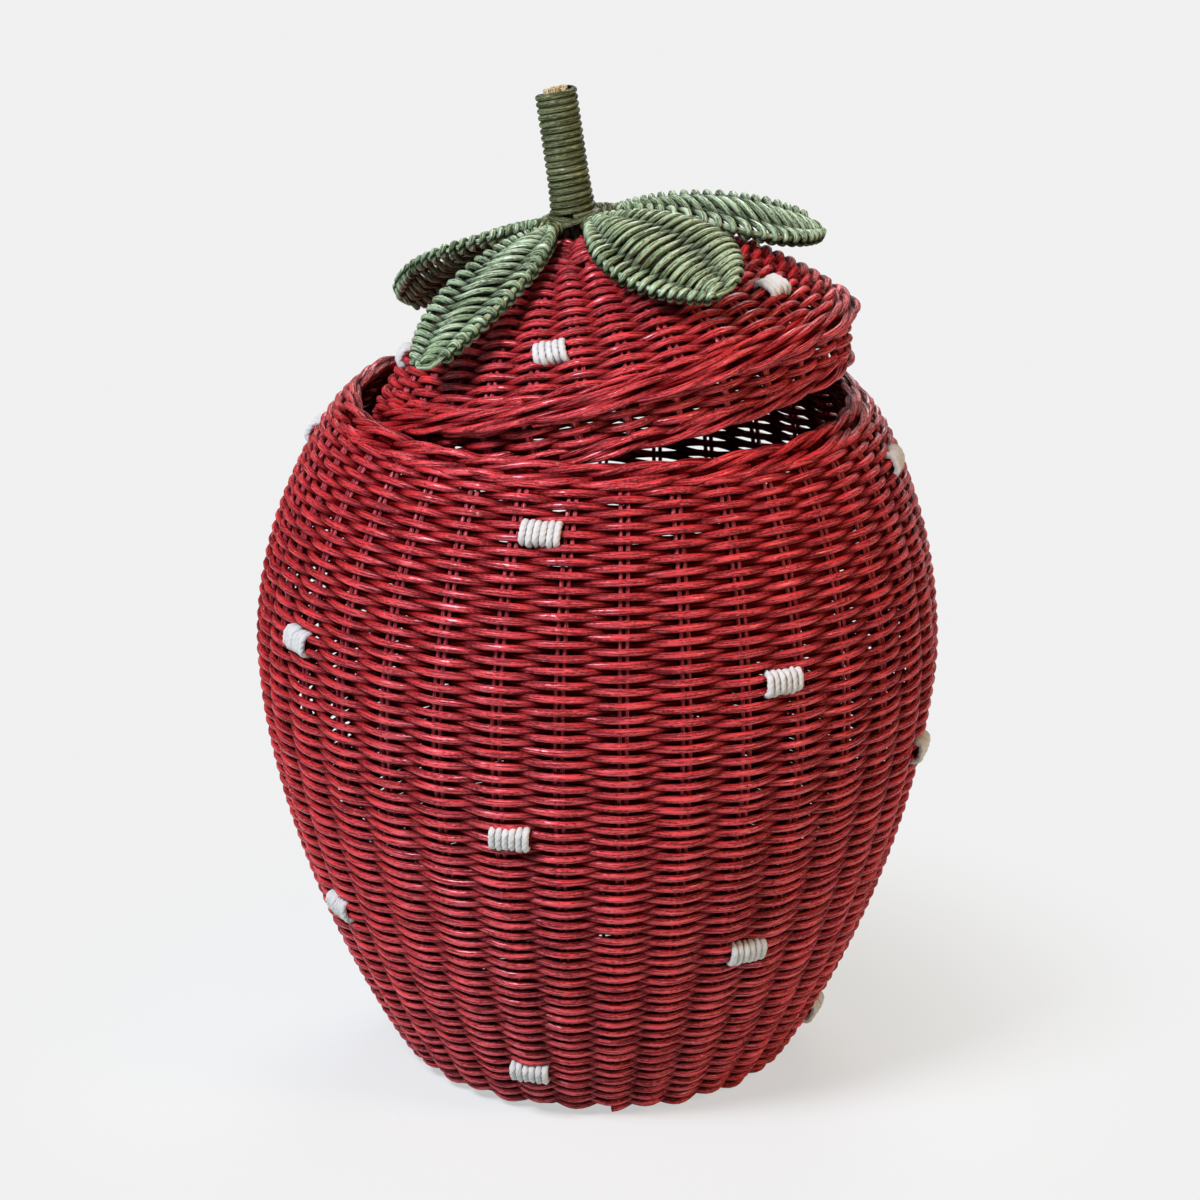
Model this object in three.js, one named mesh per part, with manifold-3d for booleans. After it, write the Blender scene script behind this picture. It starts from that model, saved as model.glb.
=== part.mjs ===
// A lidded basket in the shape of a strawberry, hand woven of dyed round cane.
// Units are millimetres. The basket stands on z = 0 with its axis on +Z, and its front is -Y.
// The loose lid lies askew: its left side has dropped into the mouth, its right side rides high.
import * as THREE from "three";
import Module from "manifold-3d";
import { mergeVertices } from "three/addons/utils/BufferGeometryUtils.js";

const wasm = await Module();
wasm.setup();

// Fits
const fitGap = 0.3; // between pieces that touch
const seatStep = 0.05; // how finely a seat is found
const touchSteps = 8; // places tried along an end face
const roundSteps = 32; // flats round the basket and the lid
const rowSpread = 0.85; // crowds the rows towards a border

// Basket wall
const baseRadius = 96;
const bellyRadius = 169;
const bellyHeight = 213;
const mouthRadius = 123.3; // radius at which the wall's line reaches the top
const bodyHeight = 344;
const lowerSwell = 1.6; // exponents of the wall's line below the belly
const lowerRound = 0.87;
const shoulderRound = 0.8; // exponent of the wall's line above the belly
const mouthShift = 2.9; // the mouth sits a little to the right of the base
const wallThickness = 4.2;
const ribDepth = 2.6; // the weave dips this far between two pairs of standing canes
const lowerRows = 5;
const upperRows = 3;
const lowerRowSpread = 1.4; // crowds the lower rows towards the base

// Base and standing canes
const baseThickness = 3.4;
const stakePairs = 35;
const stakeWidth = 5.6;
const stakeThickness = 2.6;
const firstStakeAngle = 4.14; // degrees from the front
const crossingRadius = 33; // where the standing canes cross under each other
const crossingThickness = 2.9;
const crossingLap = 1; // canes run this far in under the crossing

// Rolled border of the mouth
const borderLength = 18; // along the wall
const borderThickness = 10;
const borderSides = 8;

// Lid: its parts are measured from the level of its widest edge
const lidOverlap = 4; // widest edge beyond the inside of the mouth
const collarClearance = 3.4; // collar inside the mouth
const lidRightRise = 13; // degrees
const lidFrontRise = 5.9; // degrees
const lidSlideRight = 5.2; // from the middle of the mouth
const lidSlideBack = -2.8;
const domeInset = 5.7; // the weave's edge inside the widest edge
const domeEdgeHeight = 6;
const domeTopHeight = 61.5;
const crownRadius = 14; // flat crown under the stem
const crownShift = 4.4; // the crown sits to the left of the lid's middle
const lidThickness = 4;
const domeRows = 4;
const lidBorderLength = 18;
const lidBorderThickness = 10;

// Standing canes of the lid
const lidStickCount = 29;
const lidStickWidth = 5;
const lidStickThickness = 2.6;
const firstLidStickAngle = 6.2; // degrees from the front
const lidCrossingRadius = 26;
const stickBendDrop = 0.9; // below the lid's border before the canes turn down

// Collar under the lid
const collarDepth = 29.8;
const collarThickness = 4;
const collarFlare = 1.5; // top of the collar beyond its border
const collarTaper = 1.2; // bottom of the collar inside its border
const collarBorderLength = 10.8;
const collarBorderThickness = 8.6;

// Stem
const stemLength = 70;
const stemCoreRadius = 6.05; // what the cane is wound on
const stemPegRadius = 3.2;
const stemPegLength = 8; // below the crown
const stemSides = 16;
const crownHoleRadius = 5; // wider than the peg, because the stem leans
const stemLean = 4.7; // degrees against the lid's tilt
const wrapDiameter = 3.2;
const wrapGap = 0.48; // between turns
const wrapTurns = 15.5;
const wrapStepsPerTurn = 18;
const wrapSides = 6;
const lashingTurns = 1;

// Leaves
const leafArch = 3;
const leafDroop = 1.9; // exponent of the drop along a leaf
const leafCamber = 4.5; // edges below the middle line
const leafNeck = 0.08; // share of the length that stays narrow
const leafRound = 0.6; // exponent of the outline
const leafEdgeRadius = 1.9;
const leafRibRadius = 1.7;
const leafBladeThickness = 2.6;
const leafBladeInset = 1.8;
const leafNeckRadius = 3;
const leafNeckShare = 0.1;
const leafRibFirst = 0.104; // shares of the length where the rib starts and ends
const leafRibLast = 0.934;
const leafRibSteps = 7;
const leafBladeFirst = 0.19; // shares of the length where the blade starts and ends
const leafBladeLast = 0.92;
const leafBladeRows = 8;
const leafOutlineSteps = 20;
const leafSides = 5;
const leafReach = 115; // from the stem's middle to a tip
const leafDrop = 36; // of a tip below its root
const leafWidth = 52;
// Each leaf's angle from the front in degrees, its shares of the reach, drop and width, the roll of
// its tip in degrees, and a skew that moves the widest place towards the tip
const leaves = [
  ["leaf_front_left", -39, 1.08, 1.08, 0.94, 0, 1],
  ["leaf_front_right", 34, 1.02, 0.97, 1.15, 6, 1.25],
  ["leaf_right", 97, 1.01, 0.89, 1.04, 20, 1.35],
  ["leaf_back", 182, 0.97, 1, 1, 0, 1.2],
  ["leaf_left", -121, 0.98, 0.77, 0.96, 34, 1.1],
].map(([name, angle, reach, drop, width, roll, skew]) => ({
  name,
  angle,
  roll,
  skew,
  reach: reach * leafReach,
  drop: drop * leafDrop,
  width: width * leafWidth,
}));

// Seeds: patches of white cord bound round a few rows of the weave
const seedWidth = 21;
const seedHeight = 13;
const seedThickness = 3.4;
const seedEdgeThickness = 1.6;
const seedLift = 0.5; // keeps a patch clear of the corners between flats
const seedTries = 16; // places tried along a patch for the highest part of the wall under it
const seedsPerRow = 4;
const firstSeedHeight = 28;
const seedRowSpacing = 72;
const seedRowAngles = [-16.8, 29.5, -14.4, 31, -11.3]; // degrees from the front, lowest row first
const lidSeedCount = 5;
const lidSeedRadius = 98;
const firstLidSeedAngle = -13; // degrees from the front

// Seating of the lid on the mouth
const contactSteps = 360; // places tried round each border
const sectionSteps = 32; // places tried round a border's section

// Materials
const crimson = { color: 0x9c1c26, roughness: 0.55, metalness: 0 };
const darkCrimson = { color: 0x7d1a24, roughness: 0.6, metalness: 0 };
const sage = { color: 0x6f8a5c, roughness: 0.55, metalness: 0 };
const paleSage = { color: 0x86a071, roughness: 0.55, metalness: 0 };
const cottonWhite = { color: 0xe6e4dc, roughness: 0.9, metalness: 0 };

const wallSteps = 2 * stakePairs; // corners round the wall, on the ribs and between them
const flat = Math.cos(Math.PI / roundSteps); // middle of a flat, as a share of its corners
const wallFlat = Math.cos(Math.PI / wallSteps);
const radians = THREE.MathUtils.degToRad;
const up = new THREE.Vector3(0, 0, 1);

// Meshes and solids
function mesh(name, geometry, look) {
  const clean = geometry.index ? geometry.toNonIndexed() : geometry;
  clean.computeVertexNormals();
  const made = new THREE.Mesh(clean, new THREE.MeshStandardMaterial(look));
  made.name = name;
  return made;
}

function solid(geometry) {
  const bare = geometry.clone();
  bare.deleteAttribute("normal");
  bare.deleteAttribute("uv");
  const merged = mergeVertices(bare, 1e-4);
  return new wasm.Manifold(
    new wasm.Mesh({
      numProp: 3,
      vertProperties: new Float32Array(merged.attributes.position.array),
      triVerts: new Uint32Array(merged.index.array),
    }),
  );
}

function fromSolid(manifold) {
  const made = manifold.getMesh();
  const geometry = new THREE.BufferGeometry();
  geometry.setAttribute("position", new THREE.BufferAttribute(made.vertProperties, 3));
  geometry.setIndex(new THREE.BufferAttribute(made.triVerts, 1));
  return geometry;
}

function fromLists(points, faces) {
  const geometry = new THREE.BufferGeometry();
  geometry.setAttribute("position", new THREE.Float32BufferAttribute(points.flat(), 3));
  geometry.setIndex(faces.flat());
  return geometry;
}

// A closed outline of [radius, height] points, turned about +Z with its faces pointing out
function turned(outline) {
  const points = outline.map(([r, z]) => new THREE.Vector2(r, z));
  const ordered = THREE.ShapeUtils.isClockWise(points) ? points.reverse() : points;
  const closed = [...ordered, ordered[0]];
  const geometry = new THREE.LatheGeometry(closed, roundSteps);
  geometry.rotateX(Math.PI / 2);
  return geometry;
}

// Closed outlines of [radius, height] points, one at each step round +Z, joined to a solid
function joinedRound(outlines, firstAngle) {
  const count = outlines[0].length;
  const points = [];
  const faces = [];
  outlines.forEach((outline, i) => {
    const angle = firstAngle + (2 * Math.PI * i) / outlines.length;
    const next = (i + 1) % outlines.length;
    outline.forEach(([r, z], k) => {
      points.push([r * Math.sin(angle), -r * Math.cos(angle), z]);
      const after = (k + 1) % count;
      faces.push([i * count + k, next * count + k, next * count + after]);
      faces.push([i * count + k, next * count + after, i * count + after]);
    });
  });
  return fromLists(points, faces);
}

// Move every point sideways by an amount that depends on its height
function shifted(geometry, amountAt) {
  const place = geometry.attributes.position;
  for (let i = 0; i < place.count; i += 1) {
    place.setX(i, place.getX(i) + amountAt(place.getZ(i)));
  }
  return geometry;
}

// Radius of a flat-sided ring at an angle, as a share of its corners
function flatShare(angle) {
  const step = (2 * Math.PI) / roundSteps;
  const past = angle - step * Math.floor(angle / step);
  return flat / Math.cos(past - step / 2);
}

// A straight-line value between the rows of an outline
function alongRows(rows, by, at, name) {
  const next = rows.slice(1, -1).filter((row) => row[by] < at).length + 1;
  const before = rows[next - 1];
  const after = rows[next];
  const share = (at - before[by]) / (after[by] - before[by]);
  return before[name] + (after[name] - before[name]) * share;
}

// Oval rings: a middle, a direction for the long axis and two half axes
function ovalOutline(ring, grow = 0) {
  const outline = [];
  for (let i = 0; i < borderSides; i += 1) {
    const turn = (2 * Math.PI * i) / borderSides;
    const along = (ring.halfLength + grow) * Math.cos(turn);
    const across = (ring.halfThickness + grow) * Math.sin(turn);
    outline.push([
      ring.radius + along * ring.axis.r + across * ring.axis.z,
      ring.height + along * ring.axis.z - across * ring.axis.r,
    ]);
  }
  return outline;
}

// Whether a stretch between two points of the outline's plane runs into a ring or its fit gap
function touches(ring, from, to) {
  for (let i = 0; i <= touchSteps; i += 1) {
    const share = i / touchSteps;
    const r = from[0] + (to[0] - from[0]) * share - ring.radius;
    const z = from[1] + (to[1] - from[1]) * share - ring.height;
    const along = (r * ring.axis.r + z * ring.axis.z) / (ring.halfLength + fitGap);
    const across = (r * ring.axis.z - z * ring.axis.r) / (ring.halfThickness + fitGap);
    if (along * along + across * across < 1) {
      return true;
    }
  }
  return false;
}

// Step from one value towards another until an end face clears a ring
function stepClear(ring, start, step, faceAt) {
  let value = start;
  while (touches(ring, ...faceAt(value))) {
    value += step;
  }
  return value;
}

function reachOf(ring) {
  return {
    out: Math.hypot(ring.halfLength * ring.axis.r, ring.halfThickness * ring.axis.z),
    up: Math.hypot(ring.halfLength * ring.axis.z, ring.halfThickness * ring.axis.r),
  };
}

function directionOf(slope) {
  const length = Math.hypot(slope, 1);
  return { r: slope / length, z: 1 / length };
}

// A bar of rectangular section: its outer line is given, its inner line is set off to the inside
function barGeometry(outer, thickness, width, angle) {
  const inner = outer.map((point, i) => {
    const before = outer[Math.max(i - 1, 0)];
    const after = outer[Math.min(i + 1, outer.length - 1)];
    const first = new THREE.Vector2(point[0] - before[0], point[1] - before[1]).normalize();
    const second = new THREE.Vector2(after[0] - point[0], after[1] - point[1]).normalize();
    const middle = first.add(second).normalize();
    const cosine = second.length() > 0 ? Math.max(middle.dot(second), 0.5) : 1;
    const distance = thickness / cosine;
    return [point[0] - middle.y * distance, point[1] + middle.x * distance];
  });
  const sine = Math.sin(angle);
  const cosine = Math.cos(angle);
  const place = (r, z, t) => [r * sine + t * cosine, -r * cosine + t * sine, z];
  const points = [];
  outer.forEach((point, i) => {
    points.push(place(point[0], point[1], -width / 2));
    points.push(place(point[0], point[1], width / 2));
    points.push(place(inner[i][0], inner[i][1], width / 2));
    points.push(place(inner[i][0], inner[i][1], -width / 2));
  });
  const faces = [[0, 2, 1], [0, 3, 2]];
  for (let i = 0; i + 1 < outer.length; i += 1) {
    for (let k = 0; k < 4; k += 1) {
      const a = 4 * i + k;
      const b = 4 * i + ((k + 1) % 4);
      faces.push([a, b, b + 4], [a, b + 4, a + 4]);
    }
  }
  const end = 4 * (outer.length - 1);
  faces.push([end, end + 1, end + 2], [end, end + 2, end + 3]);
  return fromLists(points, faces);
}

// A round tube along points; each reference vector sets where its section starts
function tubeGeometry(path, references, radius, sides, closed = false) {
  const count = path.length;
  const points = [];
  path.forEach((point, i) => {
    const before = closed ? path[(i + count - 1) % count] : path[Math.max(i - 1, 0)];
    const after = closed ? path[(i + 1) % count] : path[Math.min(i + 1, count - 1)];
    const along = after.clone().sub(before).normalize();
    const first = references[i].clone().addScaledVector(along, -along.dot(references[i])).normalize();
    const second = along.clone().cross(first);
    for (let k = 0; k < sides; k += 1) {
      const turn = (2 * Math.PI * k) / sides;
      const spot = point.clone().addScaledVector(first, radius * Math.cos(turn));
      points.push(spot.addScaledVector(second, radius * Math.sin(turn)).toArray());
    }
  });
  const faces = [];
  const spans = closed ? count : count - 1;
  for (let i = 0; i < spans; i += 1) {
    const next = (i + 1) % count;
    for (let k = 0; k < sides; k += 1) {
      const a = i * sides + k;
      const b = i * sides + ((k + 1) % sides);
      const c = next * sides + ((k + 1) % sides);
      const d = next * sides + k;
      faces.push([a, b, c], [a, c, d]);
    }
  }
  if (!closed) {
    const last = (count - 1) * sides;
    for (let k = 1; k + 1 < sides; k += 1) {
      faces.push([0, k + 1, k], [last, last + k, last + k + 1]);
    }
  }
  return fromLists(points, faces);
}

// Basket wall: radius of the outer face at a height, its slope and its rows
function wallRadius(height) {
  if (height <= bellyHeight) {
    const below = 1 - height / bellyHeight;
    return baseRadius + (bellyRadius - baseRadius) * (1 - below ** lowerSwell) ** lowerRound;
  }
  const above = Math.min((height - bellyHeight) / (bodyHeight - bellyHeight), 1);
  return bellyRadius - (bellyRadius - mouthRadius) * (1 - (1 - above * above) ** shoulderRound);
}

function wallSlope(height) {
  const low = Math.max(height - 1, 0);
  const high = Math.min(height + 1, bodyHeight);
  return (wallRadius(high) - wallRadius(low)) / (high - low);
}

function mouthShiftAt(height) {
  const top = bodyHeight - borderLength;
  const share = THREE.MathUtils.clamp((height - bellyHeight) / (top - bellyHeight), 0, 1);
  return mouthShift * share * share;
}

function bodyBorderRing() {
  const axis = directionOf(wallSlope(bodyHeight - borderLength / 4));
  const ring = { halfLength: borderLength / 2, halfThickness: borderThickness / 2, axis };
  ring.height = bodyHeight - reachOf(ring).up;
  const faceHeight = ring.height - ring.halfThickness * axis.r;
  ring.radius = wallRadius(faceHeight) - ring.halfThickness * axis.z;
  return ring;
}

function wallRowsUpTo(top) {
  const floorTop = baseThickness + fitGap;
  const heights = [0, floorTop];
  for (let i = 1; i <= lowerRows; i += 1) {
    heights.push(floorTop + (bellyHeight - floorTop) * (i / lowerRows) ** lowerRowSpread);
  }
  for (let i = 1; i <= upperRows; i += 1) {
    heights.push(bellyHeight + (top - bellyHeight) * (i / upperRows) ** rowSpread);
  }
  return heights.map((height) => ({
    height,
    outer: wallRadius(height),
    dip: wallInside(height, ribDepth),
    inner: wallInside(height, wallThickness),
  }));
}

function wallInside(height, depth) {
  return wallRadius(height) - depth * Math.hypot(1, wallSlope(height));
}

function wallFace(height) {
  return [[wallRadius(height), height], [wallInside(height, wallThickness), height]];
}

const mouthRing = bodyBorderRing();
const wallTop = stepClear(mouthRing, mouthRing.height, -seatStep, wallFace);
const wallRows = wallRowsUpTo(wallTop);
const mouthInnerRadius = mouthRing.radius - reachOf(mouthRing).out;

// The weave stands out in a rib along each pair of standing canes and dips between the pairs
function bodyWeave() {
  const inner = wallRows.map((row) => [row.inner, row.height]).reverse();
  const rib = [...wallRows.map((row) => [row.outer, row.height]), ...inner];
  const between = [...wallRows.map((row) => [row.dip, row.height]), ...inner];
  const outlines = Array.from({ length: wallSteps }, (_, i) => (i % 2 === 0 ? rib : between));
  return shifted(joinedRound(outlines, radians(firstStakeAngle)), mouthShiftAt);
}

// How far the wall lies below its ribs at an angle, as a share of their depth
function dipShare(angle) {
  const column = ((angle - radians(firstStakeAngle)) * stakePairs) / (2 * Math.PI);
  return 2 * Math.abs(column - Math.round(column));
}

function baseWeave() {
  const edge = wallRows[0].inner * wallFlat - fitGap;
  const disc = new THREE.CylinderGeometry(edge, edge, baseThickness, roundSteps);
  disc.rotateX(Math.PI / 2);
  disc.translate(0, 0, baseThickness / 2);
  return disc;
}

function bodyStakes() {
  const floorTop = baseThickness + fitGap;
  const rows = wallRows.slice(1).filter((row, i, all) => i % 2 === 0 || i === all.length - 1);
  const rising = rows.map((row) => [row.inner * wallFlat - fitGap, row.height]);
  const line = [[crossingRadius - crossingLap, floorTop], ...rising];
  const disc = new THREE.CylinderGeometry(crossingRadius, crossingRadius, crossingThickness, roundSteps);
  disc.rotateX(Math.PI / 2);
  disc.translate(0, 0, floorTop + crossingThickness / 2);
  let cage = solid(disc);
  for (let i = 0; i < stakePairs; i += 1) {
    const angle = radians(firstStakeAngle) + (2 * Math.PI * i) / stakePairs;
    cage = cage.add(solid(barGeometry(line, stakeThickness, stakeWidth, angle)));
  }
  return shifted(fromSolid(cage), mouthShiftAt);
}

function bodyBorder() {
  return turned(ovalOutline(mouthRing)).translate(mouthShift, 0, 0);
}

// Lid: the dome's outer face, its slope and the two rings
const lidEdgeRadius = mouthInnerRadius + lidOverlap;
const collarRadius = mouthInnerRadius - collarClearance;
const domeRadius = lidEdgeRadius - domeInset;
const domeSpan = domeRadius - crownRadius;

function domeHeight(radius) {
  const share = Math.max(radius - crownRadius, 0) / domeSpan;
  return domeEdgeHeight + (domeTopHeight - domeEdgeHeight) * (1 - share * share);
}

function domeSlope(radius) {
  const share = Math.max(radius - crownRadius, 0) / domeSpan;
  return (-2 * share * (domeTopHeight - domeEdgeHeight)) / domeSpan;
}

function lidBorderRing() {
  const axis = directionOf(1 / domeSlope(domeRadius));
  const ring = { halfLength: lidBorderLength / 2, halfThickness: lidBorderThickness / 2, axis };
  ring.radius = lidEdgeRadius - reachOf(ring).out;
  const faceRadius = ring.radius + ring.halfThickness * axis.z;
  ring.height = domeHeight(faceRadius) + ring.halfThickness * axis.r;
  return ring;
}

const lidRing = lidBorderRing();
const collarRing = {
  halfLength: collarBorderLength / 2,
  halfThickness: collarBorderThickness / 2,
  axis: { r: 0, z: 1 },
  radius: collarRadius - collarBorderThickness / 2,
  height: -collarDepth + collarBorderLength / 2,
};

function crownShiftAt(height) {
  const low = lidRing.height + lidBorderLength / 2 + lidThickness;
  const share = THREE.MathUtils.clamp((height - low) / (domeTopHeight - low), 0, 1);
  return -crownShift * share;
}

function domeFace(radius) {
  const outer = domeHeight(radius);
  return [[radius, outer], [radius, outer - lidThickness * Math.hypot(1, domeSlope(radius))]];
}

function domeRowsTo(edge) {
  const rows = [crownHoleRadius, crownRadius, lidCrossingRadius];
  for (let i = 1; i <= domeRows; i += 1) {
    rows.push(lidCrossingRadius + (edge - lidCrossingRadius) * (i / domeRows) ** rowSpread);
  }
  return rows.map((radius) => {
    const [outer, inner] = domeFace(radius);
    return { radius, outer: outer[1], inner: inner[1] };
  });
}

const lidRows = domeRowsTo(stepClear(lidRing, lidRing.radius, -seatStep, domeFace));

function lidWeave() {
  const outer = lidRows.map((row) => [row.radius, row.outer]);
  const inner = lidRows.map((row) => [row.radius, row.inner]).reverse();
  return shifted(turned([...outer, ...inner]), crownShiftAt);
}

function collarWall() {
  const top = collarRadius + collarFlare;
  const bottom = collarRadius - collarTaper;
  return {
    top,
    bottom,
    innerAt: (height) => {
      const share = (lidRing.height - height) / (lidRing.height - collarRing.height);
      return top + (bottom - top) * share - collarThickness;
    },
  };
}

function collarWeave() {
  const wall = collarWall();
  const face = (height) => {
    const inner = wall.innerAt(height);
    return [[inner, height], [inner + collarThickness, height]];
  };
  const top = stepClear(lidRing, lidRing.height, -seatStep, face);
  const bottom = stepClear(collarRing, collarRing.height, seatStep, face);
  return turned([...face(bottom), ...face(top).reverse()]);
}

// Lid sticks run under the dome, behind the border and down inside the collar
function lidSticks() {
  const wall = collarWall();
  const ringInside = (lidRing.radius - reachOf(lidRing).out) * flat - fitGap;
  const crossingTop = domeFace(lidCrossingRadius)[1][1] - fitGap;
  const line = [[lidCrossingRadius - crossingLap, crossingTop]];
  for (const row of lidRows.slice(3)) {
    const radius = row.radius * flat;
    if (radius < ringInside - lidStickThickness) {
      line.push([radius, row.inner - fitGap]);
    }
  }
  const corner = line[line.length - 1];
  const below = lidRing.height - reachOf(lidRing).up - stickBendDrop;
  const edge = lidRows[lidRows.length - 1];
  const slope = (edge.inner - fitGap - corner[1]) / (edge.radius * flat - corner[0]);
  line.push([ringInside, corner[1] + slope * (ringInside - corner[0])]);
  line.push([ringInside, lidRing.height]);
  line.push([wall.innerAt(below) * flat - fitGap, below]);
  const foot = collarRing.height + collarRing.halfLength + fitGap;
  line.push([wall.innerAt(foot) * flat - fitGap, foot]);
  const outer = line.reverse();
  const disc = new THREE.CylinderGeometry(
    lidCrossingRadius,
    lidCrossingRadius,
    crossingThickness,
    roundSteps,
  );
  disc.rotateX(Math.PI / 2);
  disc.translate(0, 0, crossingTop - crossingThickness / 2);
  const drill = 4 * crossingThickness;
  const hole = new THREE.CylinderGeometry(crownHoleRadius, crownHoleRadius, drill, roundSteps);
  hole.rotateX(Math.PI / 2);
  hole.translate(0, 0, crossingTop);
  let cage = solid(disc);
  for (let i = 0; i < lidStickCount; i += 1) {
    const angle = radians(firstLidStickAngle) + (2 * Math.PI * i) / lidStickCount;
    cage = cage.add(solid(barGeometry(outer, lidStickThickness, lidStickWidth, angle)));
  }
  cage = cage.subtract(solid(hole));
  return shifted(fromSolid(cage), crownShiftAt);
}

// Stem: a core that pegs through the crown, a wound cane and a lashing turn below it
const wrapRadius = stemCoreRadius + wrapDiameter / 2;
const wrapPitch = wrapDiameter + wrapGap;
const leanRise = Math.tan(radians(stemLean));
const lashingStart = wrapDiameter / 2 + fitGap + (wrapRadius + wrapDiameter / 2) * leanRise;
const wrapStart = lashingStart + (lashingTurns + 1) * wrapPitch;

function stemCore() {
  const shoulderRadius = stemCoreRadius - fitGap;
  const shoulder = fitGap + shoulderRadius * leanRise;
  const outline = [
    [0, -stemPegLength],
    [stemPegRadius, -stemPegLength],
    [stemPegRadius, shoulder],
    [shoulderRadius, shoulder],
    [shoulderRadius, stemLength],
    [0, stemLength],
  ].map(([r, z]) => new THREE.Vector2(r, z));
  const geometry = new THREE.LatheGeometry(outline, stemSides);
  return geometry.rotateX(Math.PI / 2);
}

function windingPath(start, turns, pitch, radius) {
  const path = [];
  const references = [];
  const steps = Math.round(turns * wrapStepsPerTurn);
  for (let i = 0; i <= steps; i += 1) {
    const turn = (2 * Math.PI * i) / wrapStepsPerTurn;
    const out = new THREE.Vector3(Math.sin(turn), -Math.cos(turn), 0);
    references.push(out);
    path.push(out.clone().multiplyScalar(radius).setZ(start + (pitch * turn) / (2 * Math.PI)));
  }
  return { path, references };
}

// Least distance between the skins of turns that are more than half a turn apart
function leastGap(path, diameter) {
  let least = Infinity;
  for (let i = 0; i < path.length; i += 1) {
    for (let k = i + Math.ceil(wrapStepsPerTurn / 2); k < path.length; k += 1) {
      least = Math.min(least, path[i].distanceTo(path[k]) - diameter);
    }
  }
  return least;
}

function winding(start, turns) {
  const { path, references } = windingPath(start, turns, wrapPitch, wrapRadius);
  console.log(`least gap between turns: ${leastGap(path, wrapDiameter).toFixed(2)} mm`);
  return tubeGeometry(path, references, wrapDiameter / 2, wrapSides);
}

// Leaves: a middle line that arches and droops away from the stem, and an outline round it.
// A leaf is level across at its root and rolled at its tip.
const leafNeckSink = leafNeckRadius - leafEdgeRadius;
const leafRootHeight = fitGap + leafNeckRadius + leafNeckSink;
const stemReach = wrapRadius + wrapDiameter / 2 + (leafRootHeight + leafNeckRadius) * leanRise;
const leafRootRadius = stemReach + fitGap + leafEdgeRadius;

function leafPoint(leaf, share, side, lift) {
  const run = leaf.reach - leafRootRadius;
  const arch = leafArch * 4 * share * (1 - share);
  const rise = leafRootHeight + arch - leaf.drop * share ** leafDroop;
  const slope = leafArch * 4 * (1 - 2 * share) - leaf.drop * leafDroop * share ** (leafDroop - 1);
  const length = Math.hypot(run, slope);
  const bend = leafCamber * (side / (leaf.width / 2)) ** 2;
  const roll = radians(leaf.roll) * share;
  const upright = (lift * run) / length;
  return new THREE.Vector3(
    side * Math.cos(roll) - upright * Math.sin(roll),
    -(leafRootRadius + run * share) + (lift * slope) / length,
    rise - bend + side * Math.sin(roll) + upright * Math.cos(roll),
  );
}

function leafHalfWidth(leaf, share) {
  const past = Math.max(share - leafNeck, 0) / (1 - leafNeck);
  return (leaf.width / 2) * Math.max(Math.sin(Math.PI * past ** leaf.skew), 0) ** leafRound;
}

function leafFrame(leaf) {
  const outline = [];
  for (let i = 0; i < leafOutlineSteps; i += 1) {
    const turn = (2 * Math.PI * i) / leafOutlineSteps;
    const share = (1 - Math.cos(turn)) / 2;
    const side = Math.sign(Math.sin(turn)) * leafHalfWidth(leaf, share);
    outline.push(leafPoint(leaf, share, i % (leafOutlineSteps / 2) === 0 ? 0 : side, 0));
  }
  const hoop = tubeGeometry(outline, outline.map(() => up), leafEdgeRadius, leafSides, true);
  const neck = [0, leafNeckShare].map((share) => leafPoint(leaf, share, 0, -leafNeckSink));
  neck[0].y += leafEdgeRadius;
  const grip = tubeGeometry(neck, neck.map(() => up), leafNeckRadius, leafSides + 1);
  return fromSolid(solid(hoop).add(solid(grip)));
}

const leafRibDrop = leafBladeThickness / 2 + fitGap + leafRibRadius;

function leafRib(leaf) {
  const path = [];
  for (let i = 0; i <= leafRibSteps; i += 1) {
    const share = leafRibFirst + (leafRibLast - leafRibFirst) * (i / leafRibSteps);
    path.push(leafPoint(leaf, share, 0, -leafRibDrop));
  }
  return tubeGeometry(path, path.map(() => up), leafRibRadius, leafSides);
}

// The blade is a thin curved plate inside the hoop, on top of the rib
function leafBlade(leaf) {
  const inset = leafEdgeRadius + fitGap + leafBladeInset;
  const points = [];
  for (let i = 0; i <= leafBladeRows; i += 1) {
    const along = (1 - Math.cos((Math.PI * i) / leafBladeRows)) / 2;
    const share = leafBladeFirst + (leafBladeLast - leafBladeFirst) * along;
    const half = Math.max(leafHalfWidth(leaf, share) - inset, leafRibRadius);
    for (const lift of [leafBladeThickness / 2, -leafBladeThickness / 2]) {
      for (const side of [-half, 0, half]) {
        points.push(leafPoint(leaf, share, side, lift).toArray());
      }
    }
  }
  const faces = [];
  const band = [0, 1, 2, 5, 4, 3];
  for (let i = 0; i < leafBladeRows; i += 1) {
    for (let k = 0; k < 6; k += 1) {
      const a = 6 * i + band[k];
      const b = 6 * i + band[(k + 1) % 6];
      faces.push([a, b + 6, b], [a, a + 6, b + 6]);
    }
  }
  const end = 6 * leafBladeRows;
  faces.push([0, 1, 4], [0, 4, 3], [1, 2, 5], [1, 5, 4]);
  faces.push([end, end + 4, end + 1], [end, end + 3, end + 4]);
  faces.push([end + 1, end + 5, end + 2], [end + 1, end + 4, end + 5]);
  return fromLists(points, faces);
}

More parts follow.
